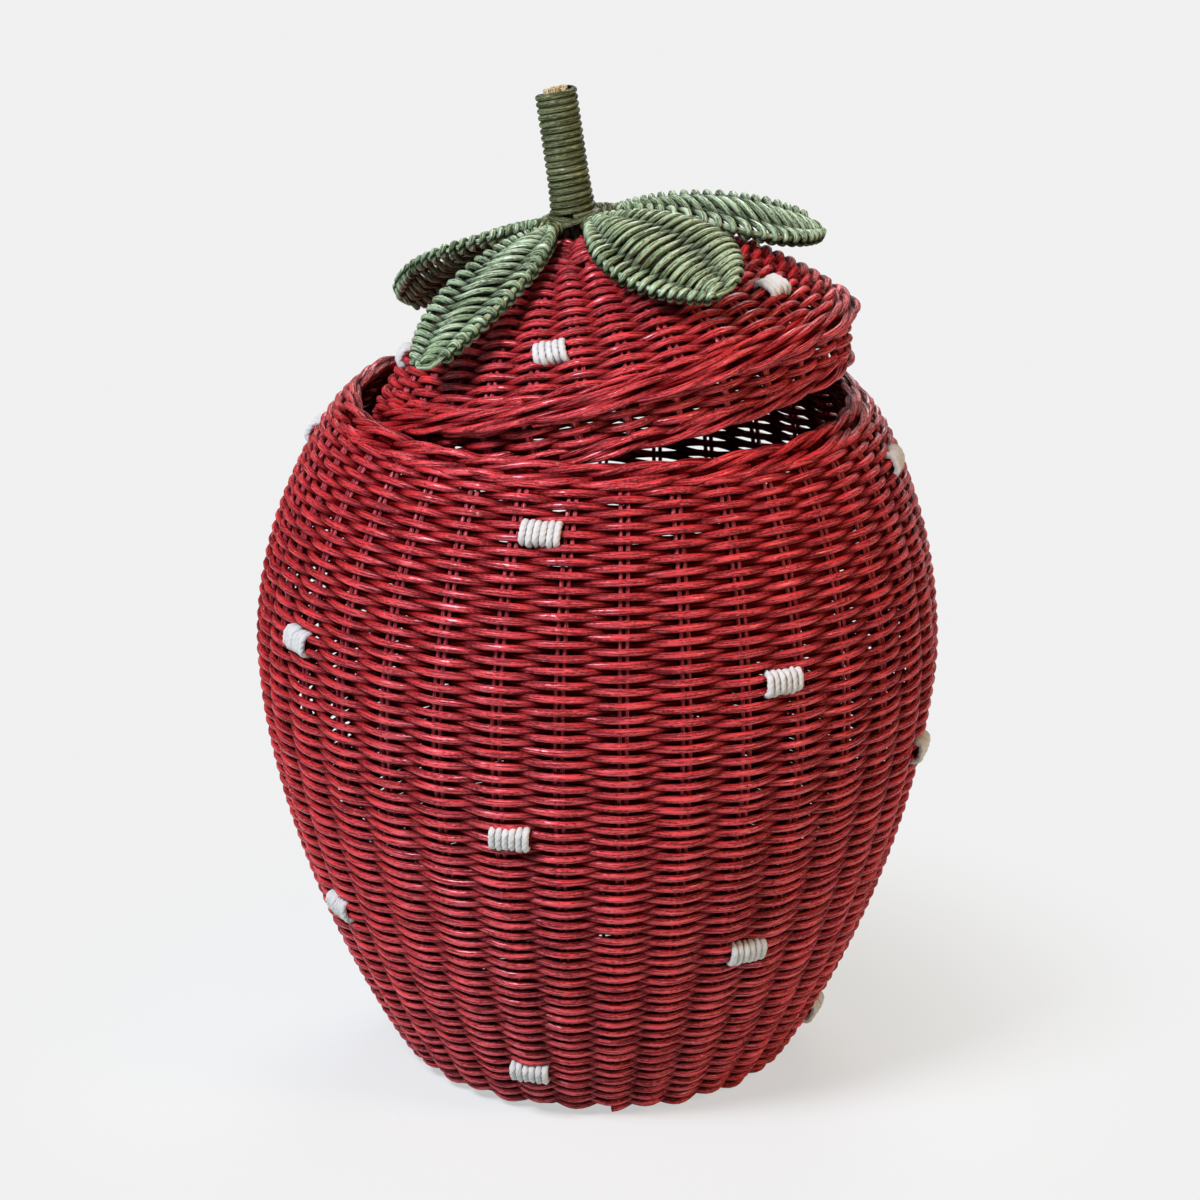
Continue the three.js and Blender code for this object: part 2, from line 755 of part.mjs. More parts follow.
// A seed is a pillow-shaped patch on a surface given by spot(sideways, upwards, lift)
function seedPatch(spot) {
  const points = [];
  for (const level of [0, 1]) {
    for (const rise of [-1, 0, 1]) {
      for (const side of [-1, 0, 1]) {
        const middle = 1 - (Math.abs(side) + Math.abs(rise)) / 2;
        const thick = seedEdgeThickness + (seedThickness - seedEdgeThickness) * middle;
        const lift = fitGap + seedLift + level * thick;
        points.push(spot((side * seedWidth) / 2, (rise * seedHeight) / 2, lift));
      }
    }
  }
  const faces = [];
  for (const [row, column] of [[0, 0], [0, 1], [1, 0], [1, 1]]) {
    const a = 3 * row + column;
    faces.push([a, a + 4, a + 1], [a, a + 3, a + 4]);
    faces.push([a + 9, a + 10, a + 13], [a + 9, a + 13, a + 12]);
  }
  const rim = [0, 1, 2, 5, 8, 7, 6, 3];
  rim.forEach((a, i) => {
    const b = rim[(i + 1) % rim.length];
    faces.push([a, b, b + 9], [a, b + 9, a + 9]);
  });
  return fromLists(points, faces);
}

function bodySeed(height, angle) {
  const middle = wallRadius(height);
  const out = directionOf(wallSlope(height));
  let least = 1;
  for (let i = 0; i <= seedTries; i += 1) {
    least = Math.min(least, dipShare(angle + ((i / seedTries - 0.5) * seedWidth) / middle));
  }
  return seedPatch((side, rise, lift) => {
    const turn = angle + side / middle;
    const proud = lift - least * ribDepth;
    const radius = alongRows(wallRows, "height", height + rise * out.z, "outer") + proud * out.z;
    const level = height + rise * out.z - proud * out.r;
    return [radius * Math.sin(turn) + mouthShiftAt(level), -radius * Math.cos(turn), level];
  });
}

function lidSeed(angle) {
  const slope = domeSlope(lidSeedRadius);
  const length = Math.hypot(1, slope);
  return seedPatch((side, rise, lift) => {
    const turn = angle + side / lidSeedRadius;
    const radius = lidSeedRadius - rise / length;
    const out = radius * flatShare(turn) - (lift * slope) / length;
    const level = alongRows(lidRows, "radius", radius, "outer") + lift / length;
    return [out * Math.sin(turn) + crownShiftAt(level), -out * Math.cos(turn), level];
  });
}

// Where the tilted lid comes to rest when it is lowered on to the border of the mouth
function topOfMouth(distance) {
  const along = mouthRing.halfLength + fitGap;
  const across = mouthRing.halfThickness + fitGap;
  const { r, z } = mouthRing.axis;
  const offset = distance - mouthRing.radius;
  const a = (z / along) ** 2 + (r / across) ** 2;
  const b = 2 * offset * r * z * (1 / along ** 2 - 1 / across ** 2);
  const c = offset ** 2 * ((r / along) ** 2 + (z / across) ** 2) - 1;
  const inside = b * b - 4 * a * c;
  return inside < 0 ? -Infinity : mouthRing.height + (Math.sqrt(inside) - b) / (2 * a);
}

function lidRestHeight(tilt) {
  let height = -Infinity;
  for (const ring of [lidRing, collarRing]) {
    for (let i = 0; i < contactSteps; i += 1) {
      const around = (2 * Math.PI * i) / contactSteps;
      for (let k = 0; k < sectionSteps; k += 1) {
        const turn = (2 * Math.PI * k) / sectionSteps;
        const along = ring.halfLength * Math.cos(turn);
        const across = ring.halfThickness * Math.sin(turn);
        const radius = ring.radius + along * ring.axis.r + across * ring.axis.z;
        const level = ring.height + along * ring.axis.z - across * ring.axis.r;
        const spot = new THREE.Vector3(0, -radius, level);
        spot.applyAxisAngle(up, around).applyEuler(tilt);
        const distance = Math.hypot(spot.x + lidSlideRight, spot.y + lidSlideBack);
        height = Math.max(height, topOfMouth(distance) - spot.z);
      }
    }
  }
  return height;
}

function buildBasket() {
  const basket = new THREE.Group();
  basket.add(mesh("base_weave", baseWeave(), crimson));
  basket.add(mesh("body_stakes", bodyStakes(), darkCrimson));
  basket.add(mesh("body_weave", bodyWeave(), crimson));
  basket.add(mesh("body_border", bodyBorder(), crimson));
  seedRowAngles.forEach((rowAngle, row) => {
    const height = firstSeedHeight + row * seedRowSpacing;
    for (let i = 0; i < seedsPerRow; i += 1) {
      const angle = radians(rowAngle) + (2 * Math.PI * i) / seedsPerRow;
      basket.add(mesh(`seed_row${row + 1}_${i + 1}`, bodySeed(height, angle), cottonWhite));
    }
  });
  return basket;
}

function buildStem() {
  const stem = new THREE.Group();
  stem.position.set(-crownShift, 0, domeTopHeight);
  stem.rotation.y = radians(stemLean);
  stem.add(mesh("stem_core", stemCore(), sage));
  stem.add(mesh("stem_wrap", winding(wrapStart, wrapTurns), sage));
  stem.add(mesh("stem_lashing", winding(lashingStart, lashingTurns), sage));
  return stem;
}

function buildLeaves() {
  const all = new THREE.Group();
  all.position.set(-crownShift, 0, domeTopHeight);
  for (const leaf of leaves) {
    const group = new THREE.Group();
    group.rotation.z = radians(leaf.angle);
    group.add(mesh(`${leaf.name}_frame`, leafFrame(leaf), sage));
    group.add(mesh(`${leaf.name}_midrib`, leafRib(leaf), sage));
    group.add(mesh(`${leaf.name}_weave`, leafBlade(leaf), paleSage));
    all.add(group);
  }
  return all;
}

function buildLid() {
  const lid = new THREE.Group();
  lid.rotation.set(radians(-lidFrontRise), radians(-lidRightRise), 0, "YXZ");
  const height = lidRestHeight(lid.rotation);
  lid.position.set(mouthShift + lidSlideRight, lidSlideBack, height);
  console.log(`lid rests with its edge level at ${height.toFixed(1)} mm`);
  lid.add(mesh("lid_sticks", lidSticks(), darkCrimson));
  lid.add(mesh("lid_weave", lidWeave(), crimson));
  lid.add(mesh("lid_border", turned(ovalOutline(lidRing)), crimson));
  lid.add(mesh("collar_weave", collarWeave(), crimson));
  lid.add(mesh("collar_border", turned(ovalOutline(collarRing)), crimson));
  for (let i = 0; i < lidSeedCount; i += 1) {
    const angle = radians(firstLidSeedAngle) + (2 * Math.PI * i) / lidSeedCount;
    lid.add(mesh(`lid_seed_${i + 1}`, lidSeed(angle), cottonWhite));
  }
  lid.add(buildStem(), buildLeaves());
  return lid;
}

const strawberryBasket = new THREE.Group();
strawberryBasket.add(buildBasket(), buildLid());

export default strawberryBasket;
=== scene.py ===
# %% [markdown]
# # A strawberry-shaped basket of dyed round cane
#
# The real basket is woven by hand. Pairs of standing canes rise from the base, and one long round
# cane winds round them, in front of one pair and behind the next. The lid is made the same way.
# The solids that the frame brings are plain: a wall, a dome, rings and plates. Here each cane is
# made as a cane, so that the light can fall between them as it does in a real basket.

import bpy
import numpy as np
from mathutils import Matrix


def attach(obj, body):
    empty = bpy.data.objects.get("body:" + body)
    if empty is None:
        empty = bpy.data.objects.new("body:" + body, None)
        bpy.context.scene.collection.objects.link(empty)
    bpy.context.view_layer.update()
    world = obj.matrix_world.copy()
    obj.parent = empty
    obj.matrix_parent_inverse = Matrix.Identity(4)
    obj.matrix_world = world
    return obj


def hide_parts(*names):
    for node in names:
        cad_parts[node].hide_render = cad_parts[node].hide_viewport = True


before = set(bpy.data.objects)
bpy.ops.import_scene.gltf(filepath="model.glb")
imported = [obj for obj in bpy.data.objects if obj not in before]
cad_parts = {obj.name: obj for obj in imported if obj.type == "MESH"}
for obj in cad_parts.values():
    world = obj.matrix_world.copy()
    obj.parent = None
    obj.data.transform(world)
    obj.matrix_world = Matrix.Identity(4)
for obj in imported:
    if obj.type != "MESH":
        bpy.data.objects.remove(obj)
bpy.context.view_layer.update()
scene = bpy.context.scene

# %% [markdown]
# ## Camera, light and floor
#
# The camera stands far off and looks down about 19 degrees through a long lens, so the rims show
# as flat ellipses with little perspective. A large soft lamp on the left gives the cool sheen on
# the left of each cane, a warmer one on the right fills the other side, and a weak one behind
# lights the back. The floor and the far background are the same pale grey to the camera, and the
# floor still takes the shadow.

# %% Camera and lamps
MM = 0.001  # sizes below are in millimetres, and meshes are in metres
TAU = 2 * np.pi
CAMERA_PLACE = (0, -1870.9, 886.9)
CAMERA_DOWN = 19.23  # degrees below level
CAMERA_RIGHT = 0.043  # degrees
CAMERA_LENS = 120  # millimetres
LAMPS = (  # name, place and aim in mm, side of the square in mm, watts, colour
    ("soft_lamp_left", (-1100, -1200, 2000), (0, 0, 260), 700, 94, (0.97, 0.88, 1.0)),
    ("soft_lamp_right", (1600, -1000, 1300), (0, 0, 220), 600, 27, (1.0, 0.60, 0.38)),
    ("soft_lamp_back", (300, 1700, 1500), (0, 0, 220), 1000, 26, (1.0, 0.97, 0.94)),
)


def add_lamp(name, place, aim, size, power, colour):
    """A square soft lamp at place, turned to face aim."""
    lamp = bpy.data.objects.new(name, bpy.data.lights.new(name, "AREA"))
    lamp.data.size = size * MM
    lamp.data.energy = power
    lamp.data.color = colour
    lamp.location = np.array(place) * MM
    way = np.array(aim) - np.array(place)
    level = np.hypot(way[0], way[1])
    lamp.rotation_euler = (np.arctan2(level, -way[2]), 0, np.arctan2(-way[0], way[1]))
    scene.collection.objects.link(lamp)


camera = bpy.data.objects.new("camera", bpy.data.cameras.new("camera"))
camera.data.lens = CAMERA_LENS
camera.location = np.array(CAMERA_PLACE) * MM
camera.rotation_euler = np.radians([90 - CAMERA_DOWN, 0, -CAMERA_RIGHT])
scene.collection.objects.link(camera)
scene.camera = camera
scene.view_settings.view_transform = "Standard"
for lamp in LAMPS:
    add_lamp(*lamp)
print("camera at", [round(v, 3) for v in camera.location], "with", len(LAMPS), "lamps")

# %% Floor and background
BACKGROUND = (0.876, 0.876, 0.876, 1)  # the pale grey behind the basket, as light
ROOM_COLOUR = (1.0, 0.96, 0.93, 1)
ROOM_STRENGTH = 0.09
PAPER_COLOUR = (0.565, 0.655, 0.635, 1)
FADE_NEAR = 0.10  # metres from the origin; the paper fades into the background out to FADE_FAR
FADE_FAR = 0.34
FADE_LEAST = 0.6  # share of background in the paper under the basket
FLOOR_REACH = 4  # metres


def feed(tree, node, inputs):
    """Give each input of a node its value, or link it where a socket is given."""
    for key, value in inputs.items():
        if isinstance(value, bpy.types.NodeSocket):
            tree.links.new(value, node.inputs[key])
        else:
            node.inputs[key].default_value = value


def add_node(tree, kind, label, inputs=None, **values):
    """A node of this kind, with its label, inputs and properties."""
    node = tree.nodes.new(kind)
    node.label = label
    for key, value in values.items():
        setattr(node, key, value)
    feed(tree, node, inputs or {})
    return node


world = bpy.data.worlds.new("pale_room")
world.use_nodes = True
scene.world = world
tree = world.node_tree
tree.nodes.clear()
light = add_node(tree, "ShaderNodeBackground", "light of the room",
                 {"Color": ROOM_COLOUR, "Strength": ROOM_STRENGTH})
seen = add_node(tree, "ShaderNodeBackground", "what the camera sees", {"Color": BACKGROUND})
rays = add_node(tree, "ShaderNodeLightPath", "rays")
mix = add_node(tree, "ShaderNodeMixShader", "seen or felt",
               {0: rays.outputs["Is Camera Ray"], 1: light.outputs[0], 2: seen.outputs[0]})
add_node(tree, "ShaderNodeOutputWorld", "world", {"Surface": mix.outputs[0]})

paper = bpy.data.materials.new("pale_paper")
paper.use_nodes = True
tree = paper.node_tree
tree.nodes.clear()
place = add_node(tree, "ShaderNodeTexCoord", "place")
far = add_node(tree, "ShaderNodeVectorMath", "distance", {0: place.outputs["Object"]}, operation="LENGTH")
fade = add_node(tree, "ShaderNodeMapRange", "fades away", {
    "Value": far.outputs["Value"], "From Min": FADE_NEAR, "From Max": FADE_FAR, "To Min": FADE_LEAST,
}, interpolation_type="SMOOTHSTEP")
rays = add_node(tree, "ShaderNodeLightPath", "rays")
seen = add_node(tree, "ShaderNodeMath", "seen and far", {
    0: fade.outputs["Result"], 1: rays.outputs["Is Camera Ray"],
}, operation="MULTIPLY")
matte = add_node(tree, "ShaderNodeBsdfDiffuse", "matte paper", {"Color": PAPER_COLOUR})
glow = add_node(tree, "ShaderNodeEmission", "background", {"Color": BACKGROUND})
mix = add_node(tree, "ShaderNodeMixShader", "paper into background",
               {0: seen.outputs[0], 1: matte.outputs[0], 2: glow.outputs[0]})
add_node(tree, "ShaderNodeOutputMaterial", "surface", {"Surface": mix.outputs[0]})

floor_mesh = bpy.data.meshes.new("floor")
corners = ((-1, -1, 0), (1, -1, 0), (1, 1, 0), (-1, 1, 0))
floor_mesh.from_pydata([[FLOOR_REACH * v for v in corner] for corner in corners], [], [(0, 1, 2, 3)])
floor_mesh.materials.append(paper)
floor = bpy.data.objects.new("floor", floor_mesh)
scene.collection.objects.link(floor)
print("floor and background are", BACKGROUND[0])

# %% [markdown]
# ## One tool for every cane
#
# A cane is a round section carried along a path. Blender could do this with a curve and a bevel,
# but a wall holds more than a hundred rows, so the whole cane is worked out at once as one array
# of points. Each point also keeps where it lies on its own cane, as the attribute "grain", so
# that the fibres of the material run along the cane however it bends.

# %% Sweep a section along many paths
GRAIN_STEP = 173.0  # along the grain from one cane to the next, so that no two canes look alike


def ring_directions(paths, outs, closed):
    """Two unit directions square to each path.

    The first is outs less its part along the path. The second is the cross product of the path's
    direction with the first.
    """
    if closed:
        along = np.roll(paths, -1, axis=1) - np.roll(paths, 1, axis=1)
    else:
        along = np.gradient(paths, axis=1)
    along = along / np.linalg.norm(along, axis=-1, keepdims=True)
    first = outs - (outs * along).sum(-1, keepdims=True) * along
    first = first / np.linalg.norm(first, axis=-1, keepdims=True)
    return first, np.cross(along, first)


def fill_mesh(name, points, quads, caps, attributes):
    """A mesh from whole arrays: four-sided faces, then end caps, and attributes of its points."""
    mesh = bpy.data.meshes.new(name)
    corners = np.concatenate([quads.ravel(), caps.ravel()]).astype(np.int32)
    starts = 4 * np.arange(len(quads))
    if len(caps):
        starts = np.concatenate([starts, 4 * len(quads) + caps.shape[1] * np.arange(len(caps))])
    mesh.vertices.add(len(points))
    mesh.vertices.foreach_set("co", (points * MM).astype(np.float32).ravel())
    mesh.loops.add(len(corners))
    mesh.loops.foreach_set("vertex_index", corners)
    mesh.polygons.add(len(starts))
    mesh.polygons.foreach_set("loop_start", starts.astype(np.int32))
    smooth = np.arange(len(starts)) < len(quads)
    mesh.polygons.foreach_set("use_smooth", smooth)
    for label, values in attributes.items():
        kind = "FLOAT_VECTOR" if values.ndim == 2 else "FLOAT"
        field = "vector" if values.ndim == 2 else "value"
        data = mesh.attributes.new(label, kind, "POINT").data
        data.foreach_set(field, values.astype(np.float32).ravel())
    mesh.update(calc_edges=True)
    mesh.validate()
    return mesh


def sweep(name, paths, outs, radius, sides=8, recess=0.0, closed=False):
    """Canes along paths, an array of (canes, points, 3).

    A point is path + radius * (cos(a) * first + sin(a) * second), with a going round in equal steps.
    radius and recess are numbers, or arrays that fit (canes, points, sides). recess is painted
    shade: 0 for what lies on the outside of the weave and 1 for what lies deep inside it.
    """
    canes, count = paths.shape[:2]
    first, second = ring_directions(paths, outs, closed)
    turn = TAU * np.arange(sides) / sides
    ring = np.cos(turn)[:, None] * first[:, :, None] + np.sin(turn)[:, None] * second[:, :, None]
    size = np.broadcast_to(np.asarray(radius, float), (canes, count, sides))
    points = paths[:, :, None] + size[..., None] * ring
    index = np.arange(canes * count * sides).reshape(canes, count, sides)
    beside = np.roll(index, -1, axis=2)
    ahead = np.roll(index, -1, axis=1)
    ahead_beside = np.roll(beside, -1, axis=1)
    last = count if closed else count - 1
    quads = np.stack([index, beside, ahead_beside, ahead], axis=-1)[:, :last].reshape(-1, 4)
    caps = np.zeros((0, sides), int)
    if not closed:
        caps = np.concatenate([index[:, 0, ::-1], index[:, -1]])
    steps = np.linalg.norm(np.diff(paths, axis=1), axis=-1)
    length = np.concatenate([np.zeros((canes, 1)), np.cumsum(steps, axis=1)], axis=1)
    length = length + GRAIN_STEP * np.arange(canes)[:, None]
    grain = np.empty((canes, count, sides, 3))
    grain[..., 0] = np.cos(turn)
    grain[..., 1] = np.sin(turn)
    grain[..., 2] = length[..., None]
    # the recess attribute sets how much painted shade each point gets
    depth = np.broadcast_to(np.asarray(recess, float), (canes, count, sides))
    attributes = {"grain": grain.reshape(-1, 3), "recess": depth.reshape(-1)}
    return fill_mesh(name, points.reshape(-1, 3), quads, caps, attributes)


def show(mesh, material, body, node):
    """Put a mesh in the scene: it rides on a body, takes a finish and stands for a frame's node."""
    mesh.materials.append(material)
    piece = bpy.data.objects.new(mesh.name, mesh)
    scene.collection.objects.link(piece)
    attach(piece, body)
    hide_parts(node)
    print(mesh.name, "has", len(mesh.polygons), "faces")


# %% [markdown]
# ## Finishes
#
# Dyed cane isn't one colour. Dye sinks in unevenly along a cane, the fibres leave thin dark and
# light lines, and worn spots show pale. The canes deep in the weave get painted shade, nearly
# black. One node group works these masks out from the "grain" attribute, and each material mixes
# its own colours with them. The canes of the wall, the stakes, the leaves, the cut ends and the
# cord all use it.

# %% The group of masks
CANE_TEXTURES = {  # density across a cane, twice, and along it, and levels of detail
    "fibres": ((2.1, 2.1, 0.06), 4),
    "dye": ((0.5, 0.5, 0.06), 2),
    "flecks": ((2.6, 2.6, 0.32), 2),
    "fine fibres": ((5.5, 5.5, 0.22), 3),
    "speckle": ((2.4, 2.4, 0.55), 2),
}
FINE_SHARE = 0.45  # of the fine fibres in the fibre mask
SPECKLE_SHARE = 0.50
FIBRE_RANGE = (0.88, 1.07)  # the low and the high that a mask stretches to 0 and 1
DYE_RANGE = (0.38, 0.62)
FLECK_RANGE = (0.70, 0.78)


def noise(tree, label, source, density, detail):
    """A noise texture on the grain attribute, with its own density round and along the cane."""
    scale = add_node(tree, "ShaderNodeVectorMath", label + " density", {0: source, 1: density},
                     operation="MULTIPLY")
    texture = add_node(tree, "ShaderNodeTexNoise", label,
                       {"Vector": scale.outputs[0], "Scale": 1.0, "Detail": detail})
    return texture.outputs["Fac"]


def ranged(tree, label, source, low, high, to_low=0.0, to_high=1.0):
    """A value stretched from low..high to to_low..to_high and held inside them."""
    node = add_node(tree, "ShaderNodeMapRange", label, {
        "Value": source, "From Min": low, "From Max": high, "To Min": to_low, "To Max": to_high,
    })
    return node.outputs["Result"]


def weighed_sum(tree, label, first, share, second):
    """The first value times its share, plus the second."""
    node = add_node(tree, "ShaderNodeMath", label, {0: first, 1: share, 2: second},
                    operation="MULTIPLY_ADD")
    return node.outputs[0]


def cane_masks():
    """The node group that gives Fibre, Patch, Fleck and Depth, each from 0 to 1, over a cane."""
    group = bpy.data.node_groups.new("cane masks", "ShaderNodeTree")
    for label in ("Fibre", "Patch", "Fleck", "Depth"):
        group.interface.new_socket(label, in_out="OUTPUT", socket_type="NodeSocketFloat")
    grain = add_node(group, "ShaderNodeAttribute", "grain", attribute_name="grain")
    # recess: how much painted shade a point gets, given out as Depth
    recess = add_node(group, "ShaderNodeAttribute", "recess", attribute_name="recess")
    grown = {
        label: noise(group, label, grain.outputs["Vector"], density, detail)
        for label, (density, detail) in CANE_TEXTURES.items()
    }
    fibre = weighed_sum(group, "coarse and fine", grown["fine fibres"], FINE_SHARE, grown["fibres"])
    fibre = weighed_sum(group, "and speckle", grown["speckle"], SPECKLE_SHARE, fibre)
    add_node(group, "NodeGroupOutput", "masks", {
        "Fibre": ranged(group, "fibre", fibre, *FIBRE_RANGE),
        "Patch": ranged(group, "patch", grown["dye"], *DYE_RANGE),
        "Fleck": ranged(group, "fleck", grown["flecks"], *FLECK_RANGE),
        "Depth": recess.outputs["Fac"],
    })
    return group


masks = cane_masks()
print("the masks are", [item.name for item in masks.interface.items_tree])

# %% Dyed cane
DEEP_SHADE = 0.10  # share of the dark colour in the painted shade deep in the weave
FIBRE_RELIEF = 0.4  # millimetres, as bump
FIBRE_BUMP = 0.8  # strength of that bump
# In each: a mask's low and high, and what is given there
LINE_RANGE = (0.0, 0.6, 0.9, 0.0)  # share of the dark lines, by Fibre
DEEP_RANGE = (0.10, 0.68, 0.0, 0.95)  # share of the painted shade, by Depth
ROUGH_RANGE = (0.0, 1.0, 0.65, 0.38)  # roughness, by Fibre
DULL_RANGE = (0.0, 0.8, 0.30, 1.15)  # share of the shine, by Fibre
SHINE_RANGE = (0.1, 0.6)  # Depth where the shine starts to go and where it is gone
LEAST_SHINE = 0.02


def colour_mix(tree, label, factor, first, second):
    """A mix of two colours; factor is a socket, and each colour is a socket or three numbers."""
    first, second = ((*v, 1) if isinstance(v, tuple) else v for v in (first, second))
    return add_node(tree, "ShaderNodeMix", label, {0: factor, 6: first, 7: second},
                    data_type="RGBA").outputs[2]


def lay_relief(tree, height, strength, depth):
    """Bump from a mask, depth millimetres deep."""
    node = add_node(tree, "ShaderNodeBump", "relief",
                    {"Height": height, "Strength": strength, "Distance": depth * MM})
    return node.outputs["Normal"]


def cane_material(name, colour, pale, dark, fleck, tint, shine=1.0):
    """Cane dyed one colour: patches of paler dye, dark fibre lines, worn flecks, and painted shade, near
    black, when deep.

    The shine takes the tint of the dye, because it comes from within a clear dyed coat.
    """
    made = bpy.data.materials.new(name)
    made.use_nodes = True
    tree = made.node_tree
    surface = tree.nodes["Principled BSDF"]
    mask = add_node(tree, "ShaderNodeGroup", "masks", node_tree=masks)
    dye = colour_mix(tree, "dye", mask.outputs["Patch"], colour, pale)
    lines = ranged(tree, "lines", mask.outputs["Fibre"], *LINE_RANGE)
    lined = colour_mix(tree, "fibre lines", lines, dye, dark)
    worn = colour_mix(tree, "worn", mask.outputs["Fleck"], lined, fleck)
    # painted shade: where the recess is deep the colour goes near black
    deep = ranged(tree, "deep", mask.outputs["Depth"], *DEEP_RANGE)
    shaded = colour_mix(tree, "deep in the weave", deep, worn, tuple(DEEP_SHADE * v for v in dark))
    rough = ranged(tree, "rougher between fibres", mask.outputs["Fibre"], *ROUGH_RANGE)
    gloss = ranged(tree, "no gloss when deep", mask.outputs["Depth"], *SHINE_RANGE, shine, LEAST_SHINE)
    dull = ranged(tree, "less gloss between fibres", mask.outputs["Fibre"], *DULL_RANGE)
    gloss = add_node(tree, "ShaderNodeMath", "gloss", {0: gloss, 1: dull}, operation="MULTIPLY")
    feed(tree, surface, {
        "Base Color": shaded, "Roughness": rough,
        "Specular Tint": (*tint, 1), "Specular IOR Level": gloss.outputs[0],
        "Normal": lay_relief(tree, mask.outputs["Fibre"], FIBRE_BUMP, FIBRE_RELIEF),
    })
    return made


# In each: dye, paler dye, dark lines, worn flecks, the tint of the shine, and the shine if not 1.
crimson = cane_material("crimson_cane", (0.43, 0.005, 0.008), (0.60, 0.020, 0.024),
                        (0.08, 0.001, 0.002), (0.74, 0.36, 0.26), (1.0, 0.86, 0.96), 1.1)
# painted highlight: the stakes' dye is paler and pinker than the weaver's, for the light they catch
stake_red = cane_material("stake_cane", (0.42, 0.028, 0.042), (0.56, 0.060, 0.080),
                          (0.13, 0.004, 0.009), (0.72, 0.40, 0.32), (1.0, 0.70, 0.76))
leaf_green = cane_material("leaf_cane", (0.245, 0.395, 0.210), (0.390, 0.565, 0.360),
                           (0.030, 0.050, 0.012), (0.52, 0.50, 0.22), (0.90, 1.0, 0.94))
stem_green = cane_material("stem_cane", (0.056, 0.082, 0.026), (0.112, 0.145, 0.055),
                           (0.010, 0.016, 0.003), (0.34, 0.34, 0.11), (0.92, 1.0, 0.78))
print("the cane materials share the group", masks.name)

# %% [markdown]
# ## The wall
#
# The wall's line was measured from the photograph: it swells from a 96 mm base to a 169 mm belly
# and closes to the mouth. The middle of the weave lies a cane and half a stake inside that line.
# The weaver's offset from it is a cosine with half as many waves as there are stakes, and with an
# odd number of stakes each row therefore swaps sides with the row below it.

# %% The wall's line
BASE_RADIUS = 96
BELLY_RADIUS = 169
BELLY_HEIGHT = 213
MOUTH_RADIUS = 123.3
BODY_HEIGHT = 344
LOWER_SWELL = 1.6
LOWER_ROUND = 0.87
SHOULDER_ROUND = 0.8
MOUTH_SHIFT = 2.9
CANE = 3.3  # the weaver's diameter
STAKE = 2.2
WAVE = (CANE + STAKE) / 2
SKIN = WAVE + CANE / 2  # from the weave's middle to its outside
ROW_PITCH = 3.12
BODY_STAKES = 35
FIRST_STAKE = np.radians(4.14)
PAIR_GAP = 3.4  # between the middles of a pair's canes
LINE_TOP = BODY_HEIGHT - 6  # the weave's line ends inside the border


def wall_radius(height):
    """Below the belly a power curve swells out from the base; above it another closes to the mouth."""
    below = np.clip(1 - height / BELLY_HEIGHT, 0, 1)
    low = BASE_RADIUS + (BELLY_RADIUS - BASE_RADIUS) * (1 - below**LOWER_SWELL) ** LOWER_ROUND
    above = np.clip((height - BELLY_HEIGHT) / (BODY_HEIGHT - BELLY_HEIGHT), 0, 1)
    high = BELLY_RADIUS - (BELLY_RADIUS - MOUTH_RADIUS) * (1 - (1 - above**2) ** SHOULDER_ROUND)
    return np.where(height < BELLY_HEIGHT, low, high)


def profile_of(radius, height, side):
    """A line to turn: its arc length, radius, height and outward direction (dz, -dr) times side."""
    step = np.hypot(np.diff(radius), np.diff(height))
    arc = np.concatenate([[0.0], np.cumsum(step)])
    rise = side * np.gradient(height, arc)
    run = -side * np.gradient(radius, arc)
    return {"arc": arc, "radius": radius, "height": height, "out": rise, "up": run}


def inset(profile, depth, side):
    """The same line moved inwards by depth, square to itself."""
    radius = profile["radius"] - depth * profile["out"]
    return profile_of(radius, profile["height"] - depth * profile["up"], side)


def around(reach, angle, height):
    """Points at a reach from the axis, an angle from the front and a height."""
    reach, angle, height = np.broadcast_arrays(reach, angle, height)
    return np.stack([reach * np.sin(angle), -reach * np.cos(angle), height], axis=-1)


def on_profile(profile, arc, angle, depth):
    """Points of the turned line at an arc length and an angle, moved out by depth, and outward there."""
    radius, height, out, up = (
        np.interp(arc, profile["arc"], profile[key]) for key in ("radius", "height", "out", "up")
    )
    return around(radius + depth * out, angle, height + depth * up), around(out, angle, up)


wall_heights = np.linspace(0.0, LINE_TOP, 900)
wall_skin = profile_of(wall_radius(wall_heights), wall_heights, 1)
wall = inset(wall_skin, SKIN, 1)
print("the wall's line is", round(wall["arc"][-1], 1), "mm long")

# %% The weaver and the stakes
ROW_WANDER = (  # size in mm, waves in a turn and where they start
    (0.30, 3.021, 0),
    (0.25, 5.037, 1),
    (0.16, 7.37, 0),
    (0.16, 13.71, 2),
)
LEAN_TOP = BODY_HEIGHT - 18  # height from which the whole lean is reached
ROWS_TOP = 335
STAKES_TOP = 332
# a little painted shade on every standing cane
STAKE_RECESS = 0.15


def weaver(profile, start, rows, columns, first, wave, per_column, pitch):
    """One cane that climbs a row a turn. Its offset is wave * cos(columns * angle / 2).

    Sines make the rows wander. The two largest nearly repeat each turn, so that a row moves with
    the row below it, as in hand weaving. per_column is how many points lie in each column.
    """
    turn = np.arange(round(rows * columns * per_column) + 1) / (columns * per_column)
    wander = sum(size * np.sin(TAU * waves * turn + begin) for size, waves, begin in ROW_WANDER)
    offset = wave * np.cos(columns * TAU * turn / 2)
    arc = start + pitch * turn + wander
    return *on_profile(profile, arc, first + TAU * turn, offset), offset


